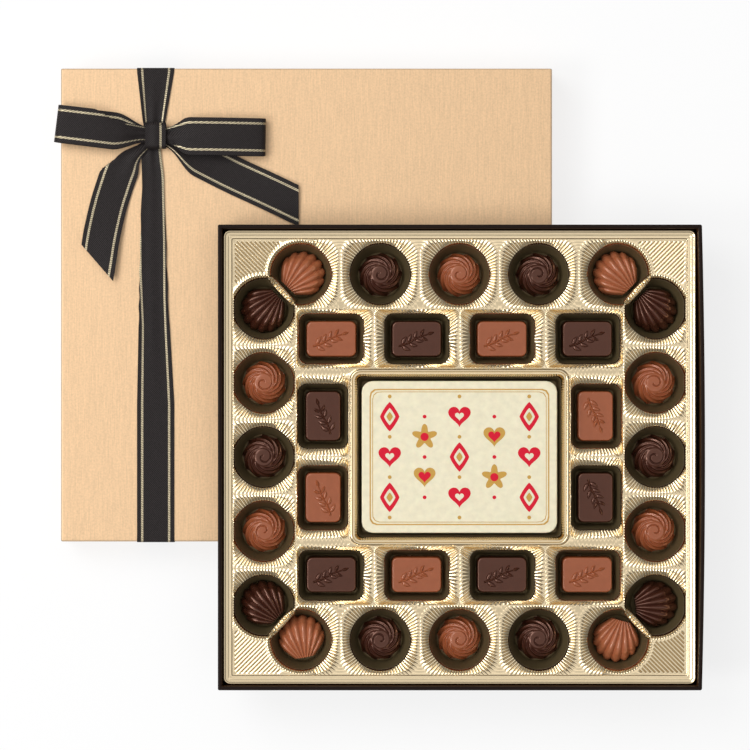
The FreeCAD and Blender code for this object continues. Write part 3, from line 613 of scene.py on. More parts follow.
def studio(sky):
    """Surroundings that vary with height, and a little from side to side."""
    world = bpy.data.worlds.new("studio")
    world.use_nodes = True
    tree = world.node_tree
    way = node(tree, "ShaderNodeTexCoord").outputs["Generated"]
    height = node(tree, "ShaderNodeSeparateXYZ", {"Vector": way}).outputs["Z"]
    ramp = node(tree, "ShaderNodeValToRGB", {"Fac": height})
    stops = ramp.color_ramp.elements
    levels = LOW_SKY + HIGH_SKY
    for place, _ in levels[1:-1]:
        stops.new(place)
    for stop, (place, level) in zip(stops, levels):
        stop.position = place
        stop.color = (level, level, level, 1.0)
    both = {0: way, 1: BRIGHT_SIDE}
    side = node(tree, "ShaderNodeVectorMath", both, operation="DOT_PRODUCT").outputs["Value"]
    lift = spread(tree, side, -1.0, 1.0, 0.88, 1.12)
    strength = node(tree, "ShaderNodeMath", {0: lift, 1: sky}, operation="MULTIPLY")
    back = tree.nodes["Background"]
    tree.links.new(ramp.outputs["Color"], back.inputs["Color"])
    tree.links.new(strength.outputs["Value"], back.inputs["Strength"])
    return world


def soft_light(name, power, width, spot):
    """A round lamp that faces the box."""
    lamp = bpy.data.lights.new(name, "AREA")
    lamp.energy = power
    lamp.shape = "DISK"
    lamp.size = width
    light = bpy.data.objects.new(name, lamp)
    light.location = spot
    light.rotation_euler = (-light.location).to_track_quat("-Z", "Y").to_euler()
    return light


class CHOCOLATEBOX_OT_stage(bpy.types.Operator):
    """Sets the floor, the lights and the camera"""

    bl_idname = "chocolate_box.stage"
    bl_label = "Stage"

    def execute(self, context):
        scene = context.scene
        stage = scene.box_stage
        scene.view_settings.view_transform = "Standard"
        scene.world = studio(stage.sky)
        skin = Skin()
        across = FLOOR_REACH * np.array([-1, 1, 1, -1])
        skin.face(skin.loop(across, np.roll(across, 1), 0.0))
        floor = bpy.data.objects.new("floor", skin.mesh("floor", [floor_cover(stage)]))
        eye = bpy.data.cameras.new("camera")
        eye.lens = stage.lens
        eye.sensor_width = 36.0
        camera = bpy.data.objects.new("camera", eye)
        camera.location = (stage.camera_x, stage.camera_y, stage.camera_height)
        lights = [soft_light(name, getattr(stage, name), *LAMPS[name]) for name in LAMPS]
        for thing in (floor, *lights, camera):
            scene.collection.objects.link(thing)
        scene.camera = camera
        return {"FINISHED"}


# Papers

# Steps round a corner of a wrap or of the tray, and along a side of a wrap
CORNER_STEPS = 6
SIDE_STEPS = 12


def wrap_outline(low, high, corner, bow=0.0):
    """Gives a function for a wrapped box's outline, set in by a distance, its right side bowed."""
    sides = [2.0 * i + k / SIDE_STEPS for i in range(4) for k in range(1, SIDE_STEPS)]
    places = np.sort(np.concatenate([corner_places(CORNER_STEPS), sides]))

    def outline(inset):
        flat = rounded_loop(low + inset, high - inset, max(corner - inset, 0.2 * MM), places)
        along = (2 * flat[:, 1] - low[1] - high[1]) / (high[1] - low[1])
        right = (flat[:, 0] - low[0]) / (high[0] - low[0])
        flat[:, 0] += bow * np.clip(1 - along**2, 0, 1) * ease((right - 0.9) / 0.08)
        return flat

    return outline


class CHOCOLATEBOX_OT_papers(bpy.types.Operator):
    """Wraps the boards of the lid and the base in paper"""

    bl_idname = "chocolate_box.papers"
    bl_label = "Papers"

    def execute(self, context):
        look = context.scene.box_papers
        gold = gold_paper(look.gold)
        dark = dark_paper("dark_paper", look.dark)
        lining = dark_paper("lining_paper", look.lining)
        board = greyboard(look.board)
        for name, material in (("lid_board", board), ("base_board", board), ("base_liner", lining)):
            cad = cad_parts[name]
            cad.data.materials.clear()
            cad.data.materials.append(material)

        low, high = box_of("lid_wrap")
        foot, top = low[2], high[2]
        paper = box_of("lid_board")[0][0] - low[0]
        wall = look.thick + 2 * paper
        edge = look.edge
        fold = 0.3 * MM
        profile = [
            *reversed(rounded_edge(edge, top)),
            (0.0, foot + fold),
            (fold, foot),
            (wall - fold, foot),
            (wall, foot + fold),
            (wall, foot + look.turn_in),
            (wall - paper, foot + look.turn_in),
            (wall - paper, foot + paper),
            (paper, foot + paper),
            (paper, top - edge),
            (edge, top - paper),
        ]
        skin = Skin()
        skin.stack(wrap_outline(low[:2], high[:2], look.corner), profile)
        skin.piece("lid_paper", [gold], 35, "lid", "gold_paper", ["lid_wrap"])

        low, high = box_of("base_wrap")
        foot, top = low[2], high[2]
        lip = look.lip
        soft = 0.2 * MM
        floor = foot + paper + look.thick
        profile = [
            (edge, foot),
            (0.3 * edge, foot + 0.3 * edge),
            (0.0, foot + edge),
            (0.0, top - lip),
            (soft, top - soft),
            (lip, top),
            (wall - lip, top),
            (wall - soft, top - soft),
            (wall, top - lip),
            (wall, floor),
            (wall - paper, floor),
            (wall - paper, top - paper),
            (paper, top - paper),
            (paper, foot + paper),
        ]
        skin = Skin()
        outline = wrap_outline(low[:2], high[:2], look.corner, look.bulge)
        skin.stack(outline, profile, lined=profile.index((wall, top - lip)))
        skin.piece("base_paper", [dark, lining], 35, "base", "dark_paper", ["base_wrap"])

        profile = [(0.0, foot + paper), (0.0, top - paper), (look.thick, top - paper), (look.thick, floor)]
        skin = Skin()
        outline = wrap_outline(low[:2] + paper, high[:2] - paper, look.card_corner, look.bulge)
        skin.stack(outline, profile)
        skin.piece("base_card", [board], 35, "base", "greyboard", ["base_board"])
        return {"FINISHED"}


# Tray

# Points to each flute, pleat or bead
FINE = 4
# Up from a round well's floor and a square one's: how far in from its foot and how high, in millimetres
ROUND_FLOOR = ((0.9, 0), (0.3, 0.3), (0, 1.2))
SQUARE_FLOOR = ((0.8, 0), (0.25, 0.25), (0, 1.0))
# Up a flute: the share of its way, and the share of its height there
FLUTE = ((0.0, 0.35), (0.2, 0.9), (0.55, 1.0), (0.93, 1.0))
# Over the plaque's frame: how far in, in millimetres, and the share of its height there
FRAME = ((0, 0), (0.25, 0.1), (0.7, 0.75), (1.2, 1), (1.8, 1), (2.1, 0.7), (2.4, 1), (3.3, 0.85))
# Up the flange in two steps: how far in from its inner edge, in millimetres, and the share of its height
FLANGE_FIRST = ((0.3, 0), (0.05, 0.10), (-0.15, 0.30), (-0.45, 0.40), (-1.25, 0.43), (-1.8, 0.50))
FLANGE_SECOND = ((-2.25, 0.63), (-2.6, 0.69), (-3.2, 0.70), (-3.6, 0.76), (-4.1, 0.94))
# Over the flange's outer edge: how far in, in millimetres, and the share of its height there
FLANGE_EDGE = ((0.6, 1), (0.3, 0.92), (0.1, 0.66), (0, 0.3))


def corner_spread(tray, turn, corner):
    """How far the flutes of a corner well spread at a turn, less towards the tray's corner."""
    outward = ease((np.cos(turn - corner) - 0.15) / 0.3)
    return tray.reach - (tray.reach - tray.corner_reach) * outward


def well_rim(tray, room, toward, half, corner):
    """Round a well: the turns, how far its flutes reach, how low they end, and where a web is."""
    count = FINE * tray.flutes
    turn = toward + even_turns(count)
    reach = np.full(count, tray.reach) if half is None else corner_spread(tray, turn, corner)
    for way, low, high in zip((np.cos(turn), np.sin(turn)), room[0::2], room[1::2]):
        reach = np.minimum(reach, np.where(way > 0, high, -low) / np.maximum(abs(way), 1e-9))
    if half is None:
        return turn, reach, np.zeros(count), np.zeros(count, dtype=bool)
    ahead = np.cos(turn - toward)
    web = half / np.maximum(ahead, 0.01)
    aside = web * np.sin(turn - toward) * np.sign(math.sin(corner - toward))
    outer = math.sqrt(tray.corner_reach**2 - half**2)
    facing = ahead > 0.05
    met = facing & (aside > -tray.web_inner) & (aside < outer)
    drop = tray.web_drop * (1 - ease((abs(aside) - tray.web_flat) / (tray.web_inner - tray.web_flat)))
    # Beside the web the flutes stop just short of the partner's
    clear = np.where(facing, 0.998 * web, reach)
    return turn, np.where(met, web, np.minimum(reach, clear)), np.where(met, drop, 0.0), met


def press(skin, bottom, wall, flute, edge, under):
    """The faces of a well: its floor, its wall, its flutes and its underside. Gives its edges."""
    skin.face(bottom[0])
    skin.bands(*bottom)
    skin.stitch(bottom[-1], wall)
    skin.bands(wall, *(flute(*step) for step in FLUTE), edge)
    skin.bands(*under)
    skin.face(under[-1])
    return edge, under[0]


def round_well(skin, tray, spot, room, deck, floor, toward=0.0, half=None, corner=0.0):
    """A fluted round well, which in a corner meets its partner in a web. Gives its edges and the web."""
    turn, reach, sunk, met = well_rim(tray, room, toward, half, corner)
    # Where there is little room the flutes keep some width, and more of it on a web
    mouth = np.minimum(tray.mouth, reach - np.where(met, 1.8, 0.5) * MM)
    foot = np.minimum(tray.foot, mouth - 0.3 * MM)
    width = reach - mouth
    drop = tray.collar_drop * (1 - 0.8 * sunk / tray.web_drop)
    lip = deck - sunk - drop
    pitch = np.where(met, tray.flutes / 3, tray.flutes / 2)
    wave = tray.flute_depth * abs(np.sin(pitch * (turn - toward))) / np.hypot(width, drop)

    def loop(radius, height, every=1):
        x = spot[0] + radius * np.cos(turn)
        y = spot[1] + radius * np.sin(turn)
        return skin.loop(x[::every], y[::every], np.broadcast_to(height, turn.shape)[::every])

    def flute(share, level):
        lean = level * wave
        return loop(mouth + share * width - lean * drop, lip + share * drop + lean * width)

    bottom = [loop(foot - inset * MM, floor + rise * MM, FINE) for inset, rise in ROUND_FLOOR]
    step = 2 * FINE
    under = [
        loop(reach, deck - sunk - 1.5 * tray.gauge, step),
        loop(np.minimum(mouth + tray.gauge, reach - 0.05 * MM), lip - 1.4 * MM, step),
        loop(np.minimum(foot + tray.gauge, reach - 0.1 * MM), floor + 0.4 * MM, step),
        loop(foot - 0.5 * MM, floor - tray.gauge, step),
    ]
    wall = loop(mouth - 0.15 * MM, lip - 0.7 * MM)
    edge, under_edge = press(skin, bottom, wall, flute, loop(reach, deck - sunk), under)
    return (edge, met), (under_edge, met[::step])


def pitched(half, corner, pitch):
    """Places round a rounded rectangle that fit a pitch, and their phase, half a turn to a pitch."""
    around = 4 * (half[0] + half[1]) - (8 - FULL_TURN) * corner
    count = FINE * round(around / pitch)
    return even_places(2 * half[0], 2 * half[1], corner, count), math.pi * np.arange(count) / FINE


def tile_well(skin, tray, spot, half, room, deck, floor):
    """A pleated rectangular well. Gives its edges."""
    corner, outer_corner = tray.tile_corner, 3.0 * MM
    place, phase = pitched(half, corner, tray.pleat)
    mouth = rounded_loop(spot - half, spot + half, corner, place)
    reach = rounded_loop(spot + room[0::2], spot + room[1::2], outer_corner, place)
    out = reach - mouth
    width = np.linalg.norm(out, axis=1)
    drop = tray.collar_drop
    wave = tray.flute_depth * abs(np.sin(phase)) / np.hypot(width, drop)

    def flute(share, level):
        lean = level * wave
        flat = mouth + (share - lean * drop / width)[:, None] * out
        return skin.outline(flat, deck - drop * (1 - share) + lean * width)

    def inner(inset, height, every=1):
        flat = rounded_loop(spot - half + inset, spot + half - inset, corner - 0.8 * inset, place)
        return skin.outline(flat[::every], height)

    foot = tray.tile_gap - 0.9 * MM
    bottom = [inner(foot + inset * MM, floor + rise * MM, FINE) for inset, rise in SQUARE_FLOOR]
    lower = mouth + 0.5 * np.minimum(out, 1.2 * MM)
    under = [
        skin.outline(reach[::FINE], deck - 1.5 * tray.gauge),
        skin.outline(lower[::FINE], deck - drop - 1.4 * MM),
        inner(foot - tray.gauge, floor + 0.4 * MM, FINE),
        inner(foot + 0.5 * MM, floor - tray.gauge, FINE),
    ]
    wall = inner(0.15 * MM, deck - drop - 0.7 * MM)
    return press(skin, bottom, wall, flute, skin.outline(reach, deck), under)


def plaque_well(skin, tray, spot, half, plaque_half, deck, floor):
    """The framed well of the plaque, with a row of beads inside the frame. Gives its edges."""
    corner = tray.frame_corner
    place, phase = pitched(half, corner, tray.bead)
    wave = np.cos(2 * phase)

    def flat(inset):
        return rounded_loop(spot - half + inset, spot + half - inset, max(corner - inset, 2 * MM), place)

    def loop(inset, height, every=1, bead=0.0):
        beaded = flat(inset) + (flat(inset + bead) - flat(inset)) * wave[:, None]
        return skin.outline(beaded[::every], (deck + height + 0.5 * bead * wave)[::every])

    rise, gauge = tray.frame_rise, tray.gauge
    foot = half[0] - plaque_half[0] - 0.6 * MM
    sunk = floor - deck
    bead = 0.4 * MM
    step = 2 * FINE
    crown = [loop(inset * MM, share * rise, FINE) for inset, share in FRAME]
    beads = [
        loop(3.5 * MM, 0.45 * rise),
        loop(3.8 * MM, 0.2 * rise, 1, bead),
        loop(4.4 * MM, -0.5 * MM, 1, bead),
        loop(4.8 * MM, -1.3 * MM),
        loop(5.1 * MM, -2.2 * MM),
    ]
    bottom = [loop(foot + inset * MM, sunk + up * MM, FINE) for inset, up in SQUARE_FLOOR]
    under = [
        loop(0, -1.5 * gauge, step),
        loop(1.2 * MM, rise - gauge, step),
        loop(2.8 * MM, -1.2 * MM, step),
        loop(4.4 * MM, -2.8 * MM, step),
        loop(foot - gauge, sunk + 0.4 * MM, step),
        loop(foot + 0.5 * MM, sunk - gauge, step),
    ]
    for loops in (crown, beads, bottom, under):
        skin.bands(*loops)
    skin.stitch(crown[-1], beads[0])
    skin.stitch(bottom[-1], beads[-1])
    skin.face(bottom[0])
    skin.face(under[-1])
    return crown[0], under[0]


def outer_run(edge, met):
    """The points of a corner well's edge off the web, and the web's two end points."""
    last = int(np.argmin(met)) - 1
    first = len(met) - int(np.argmin(met[::-1]))
    return edge[last], edge[last + 1 : first], edge[first % len(edge)]


def pair_edge(one, other):
    """The outline round two corner wells that share a web."""
    start, run, stop = outer_run(*one)
    back = outer_run(*other)[1]
    return np.concatenate([[start], run, [stop], back])


def corner_grooves(tray, wells, field):
    """Lines along the edges and valleys of the grooves in a corner of the deck, with their heights."""
    corner = field - 0.6 * MM
    # Half a groove's width as a share of the pitch
    half_width = 0.27
    way = np.array([1.0, 1.0]) / math.sqrt(2)
    aside = np.array([-1.0, 1.0]) / math.sqrt(2)
    middle = wells.mean(axis=0)
    fade = 0.7 * MM
    lines = []
    for i in range(-11, 12):
        for shift, depth in ((-half_width, 0.0), (0.0, tray.groove_depth), (half_width, 0.0)):
            start = middle + aside * (i + shift) * tray.groove
            far = ((corner - start) / way).min()
            steps = np.linspace(0, far, 300)
            near = 0.0
            for well in wells:
                gap = start + steps[:, None] * way - well
                turn = np.arctan2(gap[:, 1], gap[:, 0])
                clear = corner_spread(tray, turn, math.pi / 4) + 0.4 * MM
                near = max(near, steps[np.linalg.norm(gap, axis=1) < clear].max(initial=0.0))
            if far - near > 5 * fade:
                reach = np.array([near, near + fade, near + 2 * fade, far - 2 * fade, far - fade, far])
                level = np.array([0.0, 1.0, 1.0, 1.0, 1.0, 0.0])
                lines.append((start + reach[:, None] * way, -depth * level))
    return lines


def room_on(sign, inner, outer):
    """Room on both sides of a well along one axis, the outer room on the side of sign."""
    return (-inner, outer) if sign > 0 else (-outer, inner)


class CHOCOLATEBOX_OT_tray(bpy.types.Operator):
    """Presses the gold tray: fluted wells, a framed middle and a rolled edge"""

    bl_idname = "chocolate_box.tray"
    bl_label = "Tray"

    def execute(self, context):
        tray = context.scene.box_tray
        low, high = box_of("tray")
        middle, half = plan_of("tray")
        deck = high[2] - tray.flange_rise
        floor = low[2] + tray.gauge
        field = half - tray.flange_width - 0.35 * MM
        land = tray.land

        def spot_of(name):
            return plan_of(name)[0] - middle

        row_x, row_y = abs(spot_of("dark_swirl_back_1"))
        column_x, column_y = abs(spot_of("milk_swirl_right_1"))
        tile_half = plan_of("milk_tile_back_1")[1] + tray.tile_gap
        end_x, tile_row_y = abs(spot_of("milk_tile_back_1"))
        tile_pitch = abs(spot_of("milk_tile_back_1") - spot_of("dark_tile_back_2"))[0]
        tile_column_x, tile_column_y = abs(spot_of("dark_tile_left_1"))
        plaque_half = plan_of("plaque_slab")[1]
        frame_half = plaque_half + tray.frame_width
        split_y = (row_y - tray.mouth + tile_row_y + tile_half[1]) / 2
        split_x = (column_x - tray.mouth + tile_column_x + tile_half[1]) / 2

        skin = Skin()
        holes = []
        under_holes = []

        def add_holes(top, under):
            holes.append(top)
            under_holes.append(under)

        def add_round(spot, room, **pair):
            return round_well(skin, tray, middle + spot, room, deck, floor, **pair)

        def room_y(sign):
            return room_on(sign, row_y - split_y - land, field[1] - row_y - land)

        def room_x(sign):
            return room_on(sign, column_x - split_x - land, field[0] - column_x - land)

        beside_x = row_x / 2 - land
        beside_y = column_y / 2 - land
        for sign in (1, -1):
            for i in (-1, 0, 1):
                for spot, room in (
                    ((i * row_x, sign * row_y), (-beside_x, beside_x, *room_y(sign))),
                    ((sign * column_x, i * column_y), (*room_x(sign), -beside_y, beside_y)),
                ):
                    add_holes(*(edge for edge, _ in add_round(spot, room)))
            for side in (1, -1):
                in_row = np.array([side * 2 * row_x, sign * row_y])
                in_column = np.array([side * column_x, sign * 2 * column_y])
                gap = in_column - in_row
                toward = math.atan2(gap[1], gap[0])
                shared = {"half": np.linalg.norm(gap) / 2, "corner": math.atan2(sign, side)}
                span_x = room_on(side, beside_x, field[0] - 2 * row_x - land)
                span_y = room_on(sign, beside_y, field[1] - 2 * column_y - land)
                one = add_round(in_row, (*span_x, *room_y(sign)), toward=toward, **shared)
                back = toward + math.pi
                other = add_round(in_column, (*room_x(side), *span_y), toward=back, **shared)
                add_holes(*(pair_edge(*edges) for edges in zip(one, other)))

        def add_tile(x, y, half_size, room):
            spot = middle + np.array([x, y])
            add_holes(*tile_well(skin, tray, spot, half_size, np.array(room), deck, floor))

        near = tile_pitch / 2 - land
        far = min(near, split_x - end_x - land)
        beside = ((far, near), (near, near), (near, near), (near, far))
        reach = tile_column_y - land
        for sign in (1, -1):
            room = room_on(sign, tile_row_y - frame_half[1] - 2 * land, split_y - tile_row_y - land)
            for i, (left, right) in enumerate(beside):
                add_tile((i - 1.5) * tile_pitch, sign * tile_row_y, tile_half, (-left, right, *room))
            room = room_on(sign, tile_column_x - frame_half[0] - 2 * land, split_x - tile_column_x - land)
            for y in (tile_column_y, -tile_column_y):
                add_tile(sign * tile_column_x, y, tile_half[::-1], (*room, -reach, reach))

        plaque_floor = box_of("plaque_slab")[0][2]
        add_holes(*plaque_well(skin, tray, middle, frame_half, plaque_half, deck, plaque_floor))

        wide, rise, gauge = tray.flange_width, tray.flange_rise, tray.gauge
        profile = [(wide + inset * MM, share * rise) for inset, share in FLANGE_FIRST + FLANGE_SECOND]
        profile += [(inset * MM, share * rise) for inset, share in FLANGE_EDGE]
        profile += [
            (0.0, -tray.skirt),
            (gauge, -tray.skirt),
            (gauge, 0.1 * rise),
            (wide - gauge, 0.05 * rise),
            (wide, -gauge),
            (wide + 0.3 * MM, -1.5 * gauge),
        ]
        places = corner_places(CORNER_STEPS)
        rings = []
        for inset, height in profile:
            corner = max(4.0 * MM - inset, 1.0 * MM)
            flat = rounded_loop(middle - half + inset, middle + half - inset, corner, places)
            rings.append(skin.outline(flat, deck + height))
        skin.bands(*rings)

        wells = np.array([[2 * row_x, row_y], [column_x, 2 * column_y]])
        grooves = corner_grooves(tray, wells, field)
        lines = [
            skin.outline(middle + flat * np.array([side, sign]), deck + height)
            for side in (1, -1)
            for sign in (1, -1)
            for flat, height in grooves
        ]
        skin.fill(rings[0], holes, lines)
        skin.fill(rings[-1], under_holes)
        film = gold_film(tray.gold, tray.deep, deck)
        skin.piece("tray_film", [film], 55, "tray", "gold_tray", ["tray"])
        return {"FINISHED"}


# Chocolates

# Which way each shell's fan points, in degrees from +X
FAN_TURNS = {
    "milk_shell_back_left": 45,
    "dark_shell_back_left": 225,
    "milk_shell_back_right": 135,
    "dark_shell_back_right": 315,
    "milk_shell_front_left": 100,
    "dark_shell_front_left": 135,
    "milk_shell_front_right": 255,
    "dark_shell_front_right": 5,
}
# A tile's side, from its foot and then from its top: how far in and how high, in millimetres
TILE_FOOT = ((0.15, 0), (0, 0.15), (0.05, 1.0))
TILE_TOP = ((0.62, -1.0), (0.74, -0.55), (0.98, -0.2), (1.35, -0.04), (1.9, 0), (2.3, 0))
# The branch on a tile, from the tile's middle in millimetres, and the shape across one of its strands
STEM = ((-10.6, -4.4), (-5.0, -2.6), (0.6, 0.6), (6.4, 2.6))
STRAND = ((-1.0, -0.25), (-0.72, 0.55), (0.0, 1.0), (0.72, 0.55), (1.0, -0.25))


def chocolate_of(kind):
    """The finish of milk or dark chocolate, or of the shells' lighter milk, whose lightness is a painted
    highlight.
    """
    title = f"{kind}_moulded"
    if title not in bpy.data.materials:
        tint = getattr(bpy.context.scene.box_chocolates, kind)
        if kind == "dark":
            chocolate(title, tint, 0.21, (1.0, 0.58, 0.45))
        else:
            chocolate(title, tint, 0.23)
    return bpy.data.materials[title]


def swirl_mesh(look, kind):
    """A round chocolate with spiral ridges round a curled cap."""
    low, high = box_of("milk_swirl_back_2")
    radius = (high - low)[0] / 2 - 0.6 * MM
    height = (high - low)[2]
    cap = 0.48
    share = np.linspace(0.02, 1.0, 50)[:, None]
    turn = even_turns(18 * look.ridges)[None, :]
    phase = look.ridges * (turn - look.twist * np.clip((share - cap) / (1 - cap), 0, 1))
    ridge = np.cos(phase + 0.8 * np.sin(phase)) * ease((share - cap + 0.04) / 0.16)
    dome = np.clip(1 - share**4.2, 0, 1) ** 0.8 - 0.10 * share**2
    z = 1.6 * MM + (height - 2.2 * MM) * dome + 0.3 * MM * ease((cap - share) / 0.1)
    z = z + look.ridge_height * ridge * (1 - 0.4 * share)
    curl = turn - 8.0 * share / cap
    crease = np.maximum(np.cos(curl + 0.6 * np.sin(curl)), 0) ** 4
    z = z - 1.1 * MM * crease * ease((share - 0.04) / 0.08) * ease((cap - share) / 0.14)
    r = radius * share * (1 + 0.035 * ridge * share)
    x, y = r * np.cos(turn), r * np.sin(turn)
    skin = Skin()
    rings = list(skin.loop(x, y, z).reshape(r.shape))
    for scale, level in ((1.0, 0.9), (0.985, 0.2), (0.96, 0.0)):
        rings.append(skin.loop(scale * x[-1], scale * y[-1], level * MM))
    skin.bands(*rings)
    skin.face(rings[0])
    skin.face(rings[-1])
    return skin.mesh(f"{kind}_swirl", [chocolate_of(kind)])


def shell_mesh(look, kind):
    """A ribbed scallop shell, its fan towards +Y."""
    low, high = box_of("milk_shell_back_left")
    height = (high - low)[2]
    hinge_y, focus_y = -11.0 * MM, -17.2 * MM
    fan = math.radians(44)
    side = np.linspace(-1, 1, 12 * look.ribs + 1)[None, :]
    out = np.linspace(0, 1, 44)[:, None]
    angle = fan * side
    rib = 2 * abs(np.sin(QUARTER_TURN * look.ribs * (side + 1))) - 1
    near = (hinge_y - focus_y) / np.cos(angle)
    drop = focus_y * np.cos(angle)
    far = np.sqrt(drop**2 - focus_y**2 + look.shell_radius**2) - drop
    reach = near + (far * (1 + 0.028 * rib) - near) * out
    x = reach * np.sin(angle)
    y = focus_y + reach * np.cos(angle)
    arch = np.sin(math.pi * (0.20 + 0.80 * out**1.25)).clip(0, 1) ** 0.5
    z = (height - 1.0 * MM) * (0.30 + 0.70 * arch) * (1 - 0.42 * abs(side) ** 3.2)
    z = z + rib * (0.35 * MM + 0.25 * MM * ease(out / 0.4) - 0.2 * MM * ease((out - 0.7) / 0.15))
    z = np.maximum(z - 0.5 * MM * ease((out - 0.80) / 0.05), 2.0 * MM)
    skin = Skin()
    numbers = skin.loop(x, y, z).reshape(x.shape)
    skin.grid(numbers)
    rim = np.concatenate([numbers[0, :-1], numbers[:-1, -1], numbers[-1, :0:-1], numbers[:0:-1, 0]])
    flat = np.array(skin.points)[rim][:, :2]
    foot = skin.outline(0.98 * flat, 0.0)
    skin.bands(rim, skin.outline(1.005 * flat, 0.5 * MM), foot)
    skin.face(foot)
    # Milk shells take the lighter milk, which paints their highlights
    tint = "pale" if kind == "milk" else kind
    return skin.mesh(f"{kind}_shell", [chocolate_of(tint)], 60)


def raised_line(skin, path, widths, height, top):
    """A raised strand along a path, half sunk in a face."""
    along = unit(np.gradient(path, axis=0))
    side = np.stack([-along[:, 1], along[:, 0]], axis=1)
    rows = []
    for across, up in STRAND:
        flat = path + side * (across * widths)[:, None]
        rows.append(skin.outline(flat, top + height * up * widths / widths.max()))
    numbers = np.stack(rows, axis=1)
    skin.grid(numbers)
    skin.strand(numbers[:, 0], numbers[:, -1])
    skin.face(numbers[0])
    skin.face(numbers[-1])


def branch(skin, points, pairs, leaf, top):
    """A raised stem with pairs of broad leaves and one at its tip."""
    count = 40
    stem = curve(points, count)
    raised_line(skin, stem, np.linspace(0.7, 0.45, count) * MM, 0.7 * MM, top)
    reach = np.linspace(0, 1, 12)
    for i in range(pairs + 1):
        k = min(int(count * (i + 0.55) / (pairs + 0.6)), count - 2)
        ahead = stem[k + 1] - stem[k]
        long = leaf * (1.0 - 0.25 * i / pairs)
        for side in (0.0,) if i == pairs else (-1.0, 1.0):
            turn = math.atan2(ahead[1], ahead[0]) + side * (1.0 - 0.45 * reach)
            steps = np.stack([np.cos(turn), np.sin(turn)], axis=1) * long / (len(reach) - 1)
            widths = long * (0.05 + 0.2 * np.sin(math.pi * reach**0.8))
            raised_line(skin, stem[k] + np.cumsum(steps, axis=0), widths, 0.9 * MM, top)


def tile_mesh(look, kind):
    """A rectangular chocolate with a leafy branch in relief, its length along X."""
    low, high = box_of("milk_tile_back_1")
    half = ((high - low) / 2)[:2]
    height = (high - low)[2]
    profile = [(inset * MM, z * MM) for inset, z in TILE_FOOT]
    profile += [(inset * MM, height + z * MM) for inset, z in TILE_TOP]
    skin = Skin()
    skin.stack(plate_outline(-half, half, look.tile_corner, shrink=0.5, count=72), profile)
    branch(skin, np.array(STEM) * MM, pairs=4, leaf=5.6 * MM, top=height)
    return skin.mesh(f"{kind}_tile", [chocolate_of(kind)], 50)


def well_middle(name):
    """The middle of a corner well's floor, in line with the two wells beside it."""
    kind, _, end, side = name.split("_")
    if kind == "milk":
        far, near = f"milk_swirl_{end}_2", f"dark_swirl_{end}_{1 if side == 'left' else 3}"
    else:
        far, near = f"dark_swirl_{side}_2", f"milk_swirl_{side}_{1 if end == 'back' else 3}"
    return 2 * foot_of(near) - foot_of(far)


def names_with(word):
    """The CAD nodes with a word in their names, in order."""
    return sorted(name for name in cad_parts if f"_{word}_" in name)


def set_out(mould, names, turn_of, spot_of=foot_of):
    """Puts a milk or a dark chocolate from one mould in place of each node."""
    look = bpy.context.scene.box_chocolates
    meshes = {kind: mould(look, kind) for kind in ("milk", "dark")}
    for name in names:
        kind = name.split("_")[0]
        slot = f"{kind}_chocolate"
        add_piece(meshes[kind], f"{name}_mould", name, slot, [name], spot_of(name), turn_of(name))


class CHOCOLATEBOX_OT_swirls(bpy.types.Operator):
    """Moulds the round swirl chocolates"""

    bl_idname = "chocolate_box.swirls"
    bl_label = "Swirls"

    def execute(self, context):
        chance = np.random.default_rng(11)
        set_out(swirl_mesh, names_with("swirl"), lambda name: chance.uniform(0, FULL_TURN))
        return {"FINISHED"}


class CHOCOLATEBOX_OT_shells(bpy.types.Operator):
    """Moulds the ribbed shell chocolates"""

    bl_idname = "chocolate_box.shells"
    bl_label = "Shells"

    def execute(self, context):
        set_out(shell_mesh, FAN_TURNS, lambda name: math.radians(FAN_TURNS[name] - 90), well_middle)
        return {"FINISHED"}


class CHOCOLATEBOX_OT_tiles(bpy.types.Operator):
    """Moulds the rectangular chocolates"""

    bl_idname = "chocolate_box.tiles"
    bl_label = "Tiles"

    def execute(self, context):
        turns = {"left": QUARTER_TURN, "right": -QUARTER_TURN}
        set_out(tile_mesh, names_with("tile"), lambda name: turns.get(name.split("_")[2], 0.0))
        return {"FINISHED"}


# Plaque


def heart(reach):
    turn = even_turns(40)
    x = 16 * np.sin(turn) ** 3
    y = 13 * np.cos(turn) - 5 * np.cos(2 * turn) - 2 * np.cos(3 * turn) - np.cos(4 * turn)
    return np.stack([x, y + 2], axis=1) * reach / 16


def rosette(reach):
    turn = even_turns(60)
    r = reach * (0.74 + 0.26 * np.cos(5 * turn))
    return np.stack([r * np.sin(turn), r * np.cos(turn)], axis=1)


def lozenge(reach):
    turn = even_turns(32)
    x = np.sign(np.cos(turn)) * abs(np.cos(turn)) ** 1.7
    y = np.sign(np.sin(turn)) * abs(np.sin(turn)) ** 1.7
    return np.stack([0.66 * reach * x, reach * y], axis=1)


def disc(reach):
    turn = even_turns(24)
    return np.stack([reach * np.cos(turn), reach * np.sin(turn)], axis=1)


RED, GOLD, CREAM = 0, 1, 2
# The gold lines round the face: how far in each starts and ends, in millimetres
GOLD_LINES = ((4.6, 5.3), (6.2, 6.55))
# The motifs in turn, each printed in layers: a shape, its reach in millimetres and its ink
MOTIFS = (
    ((heart, 6.6, RED), (heart, 2.6, CREAM)),
    ((rosette, 7.6, GOLD), (disc, 2.4, RED)),
    ((lozenge, 8.6, RED), (lozenge, 5.0, CREAM), (lozenge, 2.8, GOLD)),
    ((heart, 6.4, GOLD), (heart, 3.6, RED)),
)


